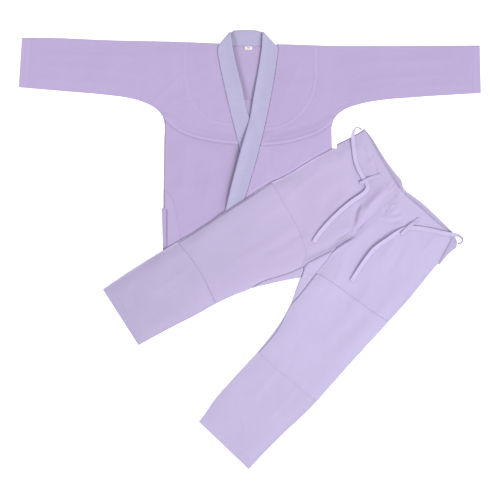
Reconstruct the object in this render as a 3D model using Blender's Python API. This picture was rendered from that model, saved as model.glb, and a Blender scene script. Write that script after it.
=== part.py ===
# Jiu-jitsu gi, laid flat: a wrapped jacket, front up, with the trousers across its lower left corner.
# Every piece is a sheet of cloth cut by the tables below and laid on the pieces under it. Right and left are
# the wearer's. Metres; +Z is up; the surface it lies on is z = 0.
#
# How a sheet gets its form: "support" is how high the pieces under it reach, spread outwards at the slope the
# cloth takes when it comes down from a step. The sheet is cut into facets only where that form needs them.

import math

import bpy
import numpy as np
from mathutils import Vector
from mathutils.geometry import delaunay_2d_cdt

# ---- sizes ---------------------------------------------------------------------------------------------------
SQUARE = 0.0032  # side of one square of the cutting plan; all plan tables are in squares (u right, v down)
PLAN_CENTRE = (249.9, 249.7)  # the square that lies on the frame's origin

JACKET_CLOTH = 0.0016
YOKE_CLOTH = 0.0012
LABEL_CLOTH = 0.0004
VENT_PATCH_CLOTH = 0.0010
LAPEL_CORE = 0.0040
TROUSER_CLOTH = 0.0012
KNEE_CLOTH = 0.0010
LOOP_CLOTH = 0.0014
TAPE_THICK = 0.0012

TAPE_WIDE = 4.4  # squares, 14 mm
LOOP_WIDE = 3.7  # squares, 12 mm
CHEST_LAP = 3.7  # squares, how far each lower front runs up under the upper front
FRONT_TUCK = 3.0  # squares, how far the left trouser front runs under the right one

GAP = 0.0003  # between pieces, at seams and between layers
JACKET_ERROR = 0.00020  # how far a facet may be from the form it follows
TROUSER_ERROR = 0.00045
BOW = 0.00003  # how far a straight edge that has points along it bows in, so that no facet there is flat
SLOPE = 0.26  # how steeply cloth comes down from a step
CELL = 0.002  # of the height grid that the support is worked out on
FOLD_STEP = 11.0  # squares between the sections of a long fold
ARC_STEPS = 3  # facets round a fold

# ---- the cutting plan: (u, v) along each edge -------------------------------------------------------------------
EDGE = {
    # jacket: the fold along the top of sleeve and shoulder, cuff to neck
    "shoulder_right": [(22.0, 37.6), (40.0, 37.6), (112.0, 40.2), (180.0, 41.8), (219.4, 43.4)],
    "shoulder_left": [(480.0, 45.4), (377.6, 45.9), (339.3, 45.9), (289.9, 44.4), (276.9, 44.0)],
    # underarm, cuff to armpit
    "underarm_right": [(18.7, 87.3), (63.8, 91.2), (105.9, 94.9), (128.9, 98.0), (146.1, 103.2), (153.1, 106.8),
                       (158.5, 111.0), (162.4, 116.2)],
    "underarm_left": [(481.1, 93.1), (409.4, 97.6), (385.5, 99.6), (356.8, 104.9), (345.5, 109.1), (338.6, 113.8),
                      (334.2, 119.2)],
    # side of the back, armpit to hem, with the step out at the vent
    "side_right": [(164.1, 122.0), (164.2, 140.0), (163.4, 191.0), (163.2, 208.0), (161.8, 208.8), (162.7, 250.6),
                   (162.9, 268.0)],
    "side_left": [(332.6, 124.0), (332.5, 191.0), (332.7, 208.0), (334.2, 208.8), (333.3, 250.6), (333.1, 268.0)],
    # side of the lower front, chest to hem, with the step in at the vent
    "front_side_right": [(165.0, 140.0), (163.9, 191.0), (163.8, 208.0), (166.5, 209.2), (166.4, 250.0),
                         (166.6, 268.0)],
    "front_side_left": [(332.0, 148.0), (332.0, 208.0), (329.6, 209.2), (329.6, 250.0), (329.4, 268.0)],
    # lower edge of the upper fronts, side to lapel
    "chest_right": [(164.9, 120.0), (172.2, 127.0), (183.3, 133.5), (199.3, 139.0), (215.2, 142.0), (238.2, 144.2)],
    "chest_left": [(331.9, 123.4), (319.4, 132.6), (301.6, 139.3), (284.0, 143.5), (260.5, 145.5)],
    # neck seam of the back
    "neck": [(221.5, 45.0), (232.5, 45.4), (262.0, 45.4), (274.2, 45.55)],
    # lapel: sewn edge and free edge of each end, neck to hem, and the free edge behind the neck
    "lapel_sewn_right": [(218.5, 44.7), (217.4, 50.0), (218.8, 60.2), (223.5, 83.0), (229.7, 110.0), (237.5, 140.3),
                         (267.0, 268.0)],
    "lapel_free_right": [(232.6, 47.6), (237.1, 68.8), (242.3, 88.9), (246.9, 110.0), (249.5, 118.0),
                         (255.4, 143.0), (284.0, 268.0)],
    "lapel_sewn_left": [(277.6, 45.3), (277.9, 49.8), (276.2, 63.0), (272.7, 86.0), (268.1, 110.0), (261.2, 141.0),
                        (253.6, 169.0), (244.5, 200.0), (225.3, 268.0)],
    "lapel_free_left": [(261.5, 48.7), (258.4, 68.8), (253.8, 94.6), (249.7, 117.7), (240.2, 151.7), (231.6, 184.2),
                        (224.9, 211.5), (209.9, 268.0)],
    "lapel_fold_right": [(219.9, 43.4), (224.7, 37.7), (229.6, 31.9)],
    "lapel_fold_left": [(263.6, 31.4), (269.5, 37.9), (275.4, 44.3)],
    "collar_top": [(233.7, 30.4), (240.0, 29.9), (248.0, 29.8), (256.7, 30.2)],
    # trousers: waist edges, right side to left side
    "waist_back": [(364.6, 128.8), (368.9, 133.8), (385.5, 159.4), (395.0, 172.4), (402.0, 181.6), (403.0, 186.6),
                   (407.1, 191.8), (421.2, 202.0), (433.9, 213.5), (451.8, 231.4)],
    "waist_front": [(364.8, 129.9), (367.6, 134.4), (376.5, 151.0), (389.3, 172.7), (398.2, 186.7), (400.9, 189.9),
                    (405.9, 195.7), (421.2, 208.4), (435.2, 221.2), (449.2, 231.4)],
    # outer seams, waist to hem
    "outseam_right": [(337.1, 149.2), (333.0, 148.4), (312.9, 159.3), (286.1, 175.6), (267.0, 184.9), (244.5, 200.0),
                      (223.5, 213.3), (200.0, 228.3), (162.6, 250.7), (127.6, 272.5), (102.8, 289.6)],
    "outseam_left": [(437.0, 264.8), (425.1, 279.4), (408.4, 300.0), (390.8, 319.5), (352.7, 361.0), (330.1, 386.5),
                     (311.2, 407.4), (279.7, 437.3), (248.6, 469.5)],
    # inner seams, crotch to hem
    "inseam_right": [(281.7, 281.2), (260.0, 286.1), (252.2, 288.1), (233.1, 295.7), (213.9, 304.8), (199.3, 313.2),
                     (175.7, 325.3), (159.4, 333.9), (138.4, 345.4)],
    "inseam_left": [(295.2, 292.0), (291.0, 303.8), (282.2, 320.0), (261.8, 347.3), (233.1, 378.9), (213.9, 400.9),
                    (203.4, 416.2), (198.8, 422.0)],
    # the right front's folded edge over the left, waist to crotch
    "centre_front": [(391.0, 200.5), (381.0, 208.0), (374.5, 214.6), (362.0, 225.0), (352.9, 236.5), (343.4, 241.6),
                     (330.5, 250.3), (314.2, 258.4), (306.1, 263.3)],
    # gusset seams, on each leg
    "gusset_right": [(302.8, 266.8), (287.1, 273.6), (276.3, 276.9), (260.0, 282.8), (252.2, 287.6)],
    "gusset_left": [(334.8, 249.8), (325.1, 262.2), (313.1, 276.9), (297.9, 296.4), (291.4, 303.3)],
    # knee reinforcements: upper and lower edge, outer seam to inner seam
    "knee_top_right": [(271.7, 183.4), (284.0, 204.0), (298.4, 230.5), (306.5, 254.0)],
    "knee_low_right": [(178.4, 243.0), (191.4, 258.4), (199.0, 269.9), (215.8, 302.9)],
    "knee_top_left": [(387.6, 321.8), (362.0, 304.0), (338.7, 287.1), (322.4, 276.2), (317.0, 273.4)],
    "knee_low_left": [(316.4, 401.4), (306.2, 393.3), (282.0, 373.2), (258.9, 352.4)],
    # drawstring, each end: the part between the layers, then from its fold to the free end
    "tape_under_right": [(368.6, 136.2), (355.9, 128.8)],
    "tape_over_right": [(353.9, 134.0), (353.7, 141.0), (354.4, 152.0), (355.8, 162.0), (358.8, 171.0),
                        (363.4, 178.6), (367.2, 184.6), (367.4, 189.4), (363.3, 193.6), (354.8, 199.2),
                        (342.1, 209.2), (328.1, 223.2), (316.5, 236.6), (313.3, 242.2)],
    "tape_under_left": [(448.6, 243.2), (463.2, 240.4)],
    "tape_over_left": [(452.0, 235.8), (439.2, 233.0), (427.0, 230.2), (417.0, 228.7), (407.5, 228.7),
                       (399.5, 231.2), (389.3, 237.6), (375.0, 248.0), (364.6, 260.4), (357.0, 271.8),
                       (350.8, 281.8)],
    # drawstring loops, casing to free edge
    "loop_right": [(381.0, 174.9), (370.5, 178.4), (359.6, 183.8)],
    "loop_left": [(419.2, 218.6), (409.8, 226.0), (401.2, 234.8)],
}
YOKE = dict(left=312.0, right=187.0, neck=46.0, lower=99.5)
LABEL = dict(u=(244.9, 252.1), v=(46.3, 49.6))
VENT_PATCH_EDGE = [(164.5, 189.4), (171.0, 198.0), (174.2, 206.0), (176.1, 215.5), (178.1, 225.0), (180.0, 239.0),
                   (181.4, 268.0)]  # on the right; the left one is its mirror
MIRROR_U = 496.0  # u of a point and of its mirror in the jacket add up to this

# ---- finishes --------------------------------------------------------------------------------------------------
CLOTH = {  # cloth: (linear red, green, blue), roughness
    "pearl_weave": ((0.533, 0.434, 0.701), 0.92),
    "lapel_rib": ((0.527, 0.497, 0.723), 0.88),
    "yoke_twill": ((0.500, 0.435, 0.690), 0.90),
    "label_white": ((0.850, 0.850, 0.870), 0.60),
    "trouser_twill": ((0.610, 0.527, 0.799), 0.90),
    "tape": ((0.640, 0.560, 0.820), 0.85),
}
CLOTH_OF = {  # start of a piece's name: its cloth, the first that fits
    "jacket_lapel": "lapel_rib",
    "jacket_yoke": "yoke_twill",
    "jacket_neck_label": "label_white",
    "jacket": "pearl_weave",
    "trousers_tape": "tape",
    "trousers_loop": "tape",
    "trousers": "trouser_twill",
}


# ---- plan geometry ---------------------------------------------------------------------------------------------
def metres(points):
    return [((u - PLAN_CENTRE[0]) * SQUARE, (PLAN_CENTRE[1] - v) * SQUARE) for u, v in points]


def moved(points, du=0.0, dv=0.0):
    return [(u + du, v + dv) for u, v in points]


def back(points):
    return list(reversed(points))


def beside(points, by):
    """The polyline moved sideways by this many squares, to the left of its run as the plan is looked at."""
    p = np.array(points, float)
    along = np.gradient(p, axis=0)
    along /= np.linalg.norm(along, axis=1)[:, None]
    return [tuple(q) for q in p + by * np.stack([along[:, 1], -along[:, 0]], axis=1)]


def stepped(points, step):
    """The polyline with points added so that no two are further apart than this."""
    out = [points[0]]
    for a, b in zip(points, points[1:]):
        n = max(1, math.ceil(math.dist(a, b) / step))
        out += [(a[0] + (b[0] - a[0]) * i / n, a[1] + (b[1] - a[1]) * i / n) for i in range(1, n + 1)]
    return out


def strip(path, wide):
    """Both edges of a flat band that runs along the path."""
    return beside(path, wide / 2), beside(path, -wide / 2)


def area(ring):
    p = np.array(ring)
    q = np.roll(p, -1, axis=0)
    return 0.5 * float((p[:, 0] * q[:, 1] - q[:, 0] * p[:, 1]).sum())


def encloses(ring, point):
    p = np.array(ring) - point
    q = np.roll(p, -1, axis=0)
    crosses = (p[:, 1] > 0) != (q[:, 1] > 0)
    p, q = p[crosses], q[crosses]
    return bool((p[:, 0] - p[:, 1] * (q[:, 0] - p[:, 0]) / (q[:, 1] - p[:, 1]) > 0).sum() % 2)


# ---- height grid -----------------------------------------------------------------------------------------------
WEST, SOUTH = -0.80, -0.78
COLUMNS, ROWS = 800, 780
heights = {}  # name of a layer: grid of its upper side, 0 where it isn't


def cell_of(x, y):
    return (x - WEST) / CELL, (y - SOUTH) / CELL


def spread(grid):
    """The grid with every step brought down at SLOPE."""
    out = grid
    for _ in range(200):
        wide = np.pad(out, 1)
        best = out
        for i in (0, 1, 2):
            for j in (0, 1, 2):
                fall = SLOPE * CELL * math.hypot(i - 1, j - 1)
                best = np.maximum(best, wide[i : i + out.shape[0], j : j + out.shape[1]] - fall)
        if (best - out).max() < 1e-7:
            break
        out = best
    return out


def support(over):
    """How high a sheet laid over these layers lies."""
    top = np.zeros((ROWS, COLUMNS))
    for name in over:
        top = np.maximum(top, heights[name])
    wide = np.pad(top, 1)
    for i in (0, 1, 2):
        for j in (0, 1, 2):
            top = np.maximum(top, wide[i : i + ROWS, j : j + COLUMNS])
    return spread(np.where(top > 0, top + GAP, 0.0))


def height_at(grid, points):
    p = np.array(points, float).reshape(-1, 2)
    c = np.clip((p[:, 0] - WEST) / CELL, 0, COLUMNS - 1.001)
    r = np.clip((p[:, 1] - SOUTH) / CELL, 0, ROWS - 1.001)
    i, j = r.astype(int), c.astype(int)
    fr, fc = r - i, c - j
    return (
        grid[i, j] * (1 - fr) * (1 - fc) + grid[i + 1, j] * fr * (1 - fc)
        + grid[i, j + 1] * (1 - fr) * fc + grid[i + 1, j + 1] * fr * fc
    )


def cells_in(a, b, c):
    """Rows, columns and barycentric weights of the grid points inside this triangle."""
    us, vs = zip(*(cell_of(*p) for p in (a, b, c)))
    j0, j1 = math.ceil(min(us)), math.floor(max(us))
    i0, i1 = math.ceil(min(vs)), math.floor(max(vs))
    det = (us[1] - us[0]) * (vs[2] - vs[0]) - (us[2] - us[0]) * (vs[1] - vs[0])
    if j1 < j0 or i1 < i0 or abs(det) < 1e-9:
        return None
    jj, ii = np.meshgrid(np.arange(j0, j1 + 1), np.arange(i0, i1 + 1))
    w1 = ((jj - us[0]) * (vs[2] - vs[0]) - (us[2] - us[0]) * (ii - vs[0])) / det
    w2 = ((us[1] - us[0]) * (ii - vs[0]) - (jj - us[0]) * (vs[1] - vs[0])) / det
    w0 = 1 - w1 - w2
    keep = (w0 > -1e-9) & (w1 > -1e-9) & (w2 > -1e-9)
    return ii[keep], jj[keep], np.stack([w0[keep], w1[keep], w2[keep]])


# ---- sheets ----------------------------------------------------------------------------------------------------
def facets(ring, inner):
    points = ring + inner
    order = list(range(len(ring)))
    verts, _, faces, origin, _, _ = delaunay_2d_cdt(
        [Vector(p) for p in points], [], [order if area(ring) > 0 else order[::-1]], 1, 1e-7, True
    )
    if len(verts) != len(points):
        raise ValueError("the outline crosses itself or has a doubled point")
    faces = [tuple(origin[v][0] for v in face) for face in faces]
    return [f for f in faces if max(f) >= len(ring) or encloses(ring, np.mean([points[i] for i in f], axis=0))]


class Sheet:
    """One layer of cloth in plan. sides is its outline as (kind, points): "cut", or the name of a fold."""

    def __init__(self, name, thick, over, sides, folds=(), error=JACKET_ERROR):
        self.thick, self.folds, self.error = thick, {}, error
        grid = support(over)
        ring, marks = [], []
        for kind, points in sides:
            points = metres(points)
            if kind != "cut":
                insets = folds[kind](grid, points, thick)
                points = insets
            marks.append((kind, len(ring), points))
            ring += points
        # a point shared by two sides is kept once
        kept, index = [], []
        for p in ring:
            if kept and math.dist(p, kept[-1]) < 1e-6:
                index.append(len(kept) - 1)
                continue
            kept.append(p)
            index.append(len(kept) - 1)
        if math.dist(kept[0], kept[-1]) < 1e-6:
            kept.pop()
            index = [0 if i == len(kept) else i for i in index]
        fixed = set()
        for kind, start, points in marks:
            if kind != "cut":
                run = [index[start + i] for i in range(len(points))]
                self.folds[kind] = run
                fixed |= {frozenset(pair) for pair in zip(run, run[1:])}
        kept, self.folds = self._divide(kept, fixed, grid)
        inner = []
        for _ in range(60):
            faces = facets(kept, inner)
            points = np.array(kept + inner)
            z = self._lift(height_at(grid, points))
            new = self._worst(points, z, faces, grid)
            if not new:
                break
            inner += new
        self.points, self.faces, self.z = points, faces, z
        self.faces = [f if self._turn(f) > 0 else f[::-1] for f in self.faces]
        top = np.zeros((ROWS, COLUMNS))
        for f in self.faces:
            found = cells_in(*(points[i] for i in f))
            if found:
                i, j, w = found
                top[i, j] = np.maximum(top[i, j], w.T @ (z[list(f)] + thick))
        heights[name] = top

    def _turn(self, face):
        a, b, c = (self.points[i] for i in face)
        return (b[0] - a[0]) * (c[1] - a[1]) - (b[1] - a[1]) * (c[0] - a[0])

    def _lift(self, z):
        return np.where(z > 2e-5, z + self.error, 0.0)

    def _divide(self, ring, fixed, grid):
        """Adds outline points where the form below an edge bends; the sections of a fold stay as they are."""
        out, place = [], {}
        turn = 1 if area(ring) > 0 else -1
        for i, a in enumerate(ring):
            place[i] = len(out)
            out.append(a)
            b = ring[(i + 1) % len(ring)]
            if frozenset((i, (i + 1) % len(ring))) in fixed:
                continue
            n = max(2, math.ceil(math.dist(a, b) / 0.002))
            t = np.linspace(0, 1, n + 1)
            z = height_at(grid, [(a[0] + (b[0] - a[0]) * s, a[1] + (b[1] - a[1]) * s) for s in t])
            keys = [0, n]
            while True:
                line = np.interp(t, t[keys], z[keys])
                worst = int(np.abs(line - z).argmax())
                if abs(line[worst] - z[worst]) < 0.8 * self.error or worst in keys:
                    break
                keys = sorted([*keys, worst])
            du, dv, long = b[0] - a[0], b[1] - a[1], math.dist(a, b)
            for k in keys[1:-1]:
                bow = 4 * t[k] * (1 - t[k]) * BOW * turn / long
                out.append((a[0] + du * t[k] - dv * bow, a[1] + dv * t[k] + du * bow))
        return out, {kind: [place[i] for i in run] for kind, run in self.folds.items()}

    def _worst(self, points, z, faces, grid):
        """For each facet that is too far from the form, the place where it is furthest."""
        found = []
        for f in faces:
            cells = cells_in(*(points[i] for i in f))
            if not cells or not len(cells[0]):
                continue
            i, j, w = cells
            want = self._lift(grid[i, j])
            error = np.abs(want - w.T @ z[list(f)])
            k = int(error.argmax())
            if error[k] > 1.1 * self.error:
                found.append((error[k], (WEST + j[k] * CELL, SOUTH + i[k] * CELL)))
        chosen = []
        for _, p in sorted(found, reverse=True):
            if np.hypot(*(points - p).T).min() > 0.0035 and all(math.dist(p, q) > 0.006 for q in chosen):
                chosen.append(p)
        return chosen


# ---- from sheets to solids -------------------------------------------------------------------------------------
def finish(name):
    """The piece's own material, in the colour and roughness of its cloth."""
    colour, roughness = CLOTH[next(cloth for start, cloth in CLOTH_OF.items() if name.startswith(start))]
    material = bpy.data.materials.new(name)
    material.use_nodes = True
    shader = material.node_tree.nodes["Principled BSDF"]
    shader.inputs["Base Color"].default_value = (*colour, 1.0)
    shader.inputs["Roughness"].default_value = roughness
    shader.inputs["Metallic"].default_value = 0.0
    return material


class Solid:
    """Sheets joined at their folds, given their thickness and closed all round."""

    def __init__(self, name):
        self.name, self.outer, self.inner, self.faces, self.runs = name, [], [], [], {}

    def add(self, sheet, face_up=True):
        start = len(self.outer)
        for (x, y), z in zip(sheet.points, sheet.z):
            low, high = (x, y, z), (x, y, z + sheet.thick)
            self.outer.append(high if face_up else low)
            self.inner.append(low if face_up else high)
        for f in sheet.faces:
            f = tuple(start + i for i in f)
            self.faces.append(f if face_up else f[::-1])
        for kind, run in sheet.folds.items():
            self.runs.setdefault(kind, {})["up" if face_up else "down"] = [start + i for i in run]
        return self

    def join(self, kind, outward):
        """Rounds the cloth over the fold from its upper sheet to its lower one."""
        upper, lower = self.runs[kind]["up"], self.runs[kind]["down"]
        if math.dist(self.outer[upper[0]][:2], self.outer[lower[0]][:2]) > 1e-5:
            lower = lower[::-1]
        rows = [upper]
        for step in range(1, ARC_STEPS):
            angle = math.pi / 2 - math.pi * step / ARC_STEPS
            row = []
            for a, b, n in zip(upper, lower, outward):
                places = []
                for side in (self.outer, self.inner):
                    top, low = side[a], side[b]
                    middle, radius = (top[2] + low[2]) / 2, (top[2] - low[2]) / 2
                    reach = radius * math.cos(angle)
                    places.append((top[0] + n[0] * reach, top[1] + n[1] * reach, middle + radius * math.sin(angle)))
                self.outer.append(places[0])
                self.inner.append(places[1])
                row.append(len(self.outer) - 1)
            rows.append(row)
        rows.append(lower)
        edges = {(f[i], f[(i + 1) % 3]) for f in self.faces for i in range(3)}
        forward = (upper[0], upper[1]) in edges
        for above, below in zip(rows, rows[1:]):
            for i in range(len(upper) - 1):
                a, b = (i, i + 1) if forward else (i + 1, i)
                self.faces += [(above[b], above[a], below[a]), (above[b], below[a], below[b])]
        return self

    def build(self):
        n = len(self.outer)
        faces = list(self.faces) + [tuple(n + i for i in f[::-1]) for f in self.faces]
        edges = {(f[i], f[(i + 1) % 3]) for f in self.faces for i in range(3)}
        for a, b in edges:
            if (b, a) not in edges:
                faces += [(b, a, n + a), (b, n + a, n + b)]
        mesh = bpy.data.meshes.new(self.name)
        mesh.from_pydata(self.outer + self.inner, [], faces)
        mesh.update()
        mesh.materials.append(finish(self.name))
        bpy.context.scene.collection.objects.link(bpy.data.objects.new(self.name, mesh))


def outward_of(points, inside):
    """Unit vectors square to a fold's run, pointing away from the cloth."""
    p = np.array(metres(points))
    along = np.gradient(p, axis=0)
    along /= np.linalg.norm(along, axis=1)[:, None]
    normal = np.stack([along[:, 1], -along[:, 0]], axis=1)
    if ((p[len(p) // 2] - np.array(metres([inside])[0])) @ normal[len(p) // 2]) < 0:
        normal = -normal
    return normal


class Fold:
    """A fold's sections. The cloth is set in from the fold line by the radius of the fold, the same in both layers."""

    def __init__(self, points, inside, thick):
        self.outward = outward_of(points, inside)
        run = np.linspace(0, 1, len(points))
        inset = thick + (GAP + JACKET_ERROR) / 2 + 40 * BOW * run * (1 - run)
        self.places = [
            (x - n[0] * r, y - n[1] * r) for (x, y), n, r in zip(metres(points), self.outward, inset)
        ]

    def __call__(self, grid, points, thick):
        if math.dist(points[0], self.places[0]) > math.dist(points[0], self.places[-1]):
            return self.places[::-1]
        return list(self.places)


def plain(name, thick, over, ring, error=JACKET_ERROR):
    """A piece that is one sheet."""
    Solid(name).add(Sheet(name, thick, over, [("cut", ring)], error=error)).build()


def panel(name, thick, over, ring):
    plain(name, thick, over, ring, TROUSER_ERROR)


# ---- jacket ----------------------------------------------------------------------------------------------------
shoulder = {s: stepped(EDGE[f"shoulder_{s}"], FOLD_STEP) for s in ("right", "left")}
lapel_fold = {s: EDGE[f"lapel_fold_{s}"] for s in ("right", "left")}


def jacket():
    folds_back = {
        s: Fold(shoulder[s], EDGE[f"side_{s}"][0], JACKET_CLOTH) for s in shoulder
    }
    back_sheet = Sheet(
        "back", JACKET_CLOTH, [],
        [
            ("right", back(shoulder["right"])),
            ("cut", EDGE["underarm_right"] + EDGE["side_right"]),
            ("cut", back(EDGE["side_left"]) + back(EDGE["underarm_left"])),
            ("left", shoulder["left"]),
            ("cut", back(EDGE["neck"])),
        ],
        folds_back,
    )
    collar_folds = {
        s: Fold(lapel_fold[s], (248.0, 60.0), LAPEL_CORE) for s in lapel_fold
    }
    collar_sheet = Sheet(
        "collar_back", LAPEL_CORE, [],
        [
            ("right", lapel_fold["right"]),
            ("cut", EDGE["collar_top"]),
            ("left", lapel_fold["left"]),
            ("cut", back(moved(EDGE["neck"], 0.0, -0.15))),
        ],
        collar_folds,
    )
    y = YOKE
    plain("jacket_yoke_lining", YOKE_CLOTH, ["back"],
          [(y["right"], y["neck"] + 0.6), (216.0, y["neck"] + 0.9), (221.5, y["neck"]), (274.2, y["neck"]),
           (280.0, y["neck"] + 1.2), (y["left"], y["neck"] + 1.8), (y["left"], y["lower"]), (y["right"], y["lower"])])
    (u0, u1), (v0, v1) = LABEL["u"], LABEL["v"]
    plain("jacket_neck_label", LABEL_CLOTH, ["jacket_yoke_lining"], [(u0, v0), (u1, v0), (u1, v1), (u0, v1)])

    upper, chest, sewn = {}, {}, {}
    for s, sign in (("right", -1), ("left", 1)):
        sewn[s] = moved(EDGE[f"lapel_sewn_{s}"], sign * 0.1, 0.0)
        under_chest = beside(EDGE[f"chest_{s}"], CHEST_LAP if s == "right" else -CHEST_LAP)
        chest[s] = under_chest
    cut_at = {s: 6 if s == "right" else 5 for s in sewn}  # rows of the lapel seam above the chest seam

    # right lower front, then the right upper front lapped over it
    plain("jacket_front_right", JACKET_CLOTH, ["back"],
          [(165.2, 117.4)] + chest["right"][1:-1] + [(237.1, 139.8)] + sewn["right"][cut_at["right"]:]
          + back(EDGE["front_side_right"]))
    uppers = {}
    uppers["right"] = Sheet(
        "upper_right", JACKET_CLOTH, ["back", "jacket_yoke_lining", "jacket_front_right"],
        [
            ("right", shoulder["right"]),
            ("cut", sewn["right"][: cut_at["right"] - 1] + [(237.4, 140.3)] + back(EDGE["chest_right"])),
            ("cut", back(EDGE["underarm_right"])),
        ],
        folds_back,
    )
    lapel_right = Sheet(
        "lapel_right", LAPEL_CORE, ["back", "jacket_yoke_lining", "jacket_neck_label", "collar_back"],
        [("right", lapel_fold["right"]), ("cut", EDGE["lapel_free_right"] + back(EDGE["lapel_sewn_right"]))],
        collar_folds,
    )
    plain("jacket_front_left", JACKET_CLOTH, ["back", "jacket_front_right", "lapel_right"],
          [(331.4, 119.8)] + chest["left"][1:-1] + [(261.6, 140.6)] + sewn["left"][cut_at["left"] + 1:]
          + back(EDGE["front_side_left"]))
    uppers["left"] = Sheet(
        "upper_left", JACKET_CLOTH,
        ["back", "jacket_yoke_lining", "jacket_front_left", "jacket_front_right", "lapel_right"],
        [
            ("left", back(shoulder["left"])),
            ("cut", EDGE["underarm_left"] + EDGE["chest_left"]),
            ("cut", [(261.3, 141.0)] + back(sewn["left"][: cut_at["left"]])),
        ],
        folds_back,
    )
    lapel_left = Sheet(
        "lapel_left", LAPEL_CORE,
        ["back", "jacket_yoke_lining", "jacket_neck_label", "collar_back", "lapel_right", "upper_right",
         "jacket_front_right"],
        [("left", lapel_fold["left"]), ("cut", EDGE["lapel_sewn_left"] + back(EDGE["lapel_free_left"]))],
        collar_folds,
    )
    body = Solid("jacket_body").add(back_sheet, face_up=False).add(uppers["right"]).add(uppers["left"])
    for s in ("right", "left"):
        body.join(s, folds_back[s].outward)
    body.build()
    lapel = Solid("jacket_lapel").add(collar_sheet, face_up=False).add(lapel_right).add(lapel_left)
    for s in ("right", "left"):
        lapel.join(s, collar_folds[s].outward)
    lapel.build()

    patch = VENT_PATCH_EDGE + [(167.0, 268.0), (167.0, 209.4), (164.5, 208.6)]
    plain("jacket_vent_patch_right", VENT_PATCH_CLOTH, ["jacket_front_right"], patch)
    plain("jacket_vent_patch_left", VENT_PATCH_CLOTH, ["jacket_front_left"],
          [(MIRROR_U - u, v) for u, v in back(patch)])


# ---- trousers --------------------------------------------------------------------------------------------------
def folded_tape(side, over):
    """A drawstring end: it comes out between the layers, is folded over at the side and runs down the front."""
    under, upper = EDGE[f"tape_under_{side}"], EDGE[f"tape_over_{side}"]
    turn = np.array(under[-1], float)
    coming = turn - np.array(under[-2])
    going = np.array(upper[0]) - turn
    coming, going = coming / np.linalg.norm(coming), going / np.linalg.norm(going)
    normal = (coming - going) / np.linalg.norm(coming - going)
    run = np.array([normal[1], -normal[0]])
    half = TAPE_WIDE / 2 / abs(float(coming @ normal))
    ends = [tuple(turn - run * half), tuple(turn), tuple(turn + run * half)]

    def sides(path, first):
        """Left and right edge of the band, without the ones at the fold, and the fold's points from left to right."""
        a, b = strip(path, TAPE_WIDE)
        fold = ends if math.dist(ends[0], a[0 if first else -1]) < math.dist(ends[2], a[0 if first else -1]) else back(ends)
        return a, b, fold

    a, b, fold = sides([*under[:-1], under[-1]], False)
    lower_ring = [("cut", back(b)[1:] + a[:-1]), ("turn", fold)]
    a2, b2, fold2 = sides([under[-1], *upper], True)
    upper_ring = [("turn", back(fold2)), ("cut", a2[1:] + back(b2[1:]))]
    return lower_ring, upper_ring, ends, tuple(turn - normal * 4)


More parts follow.
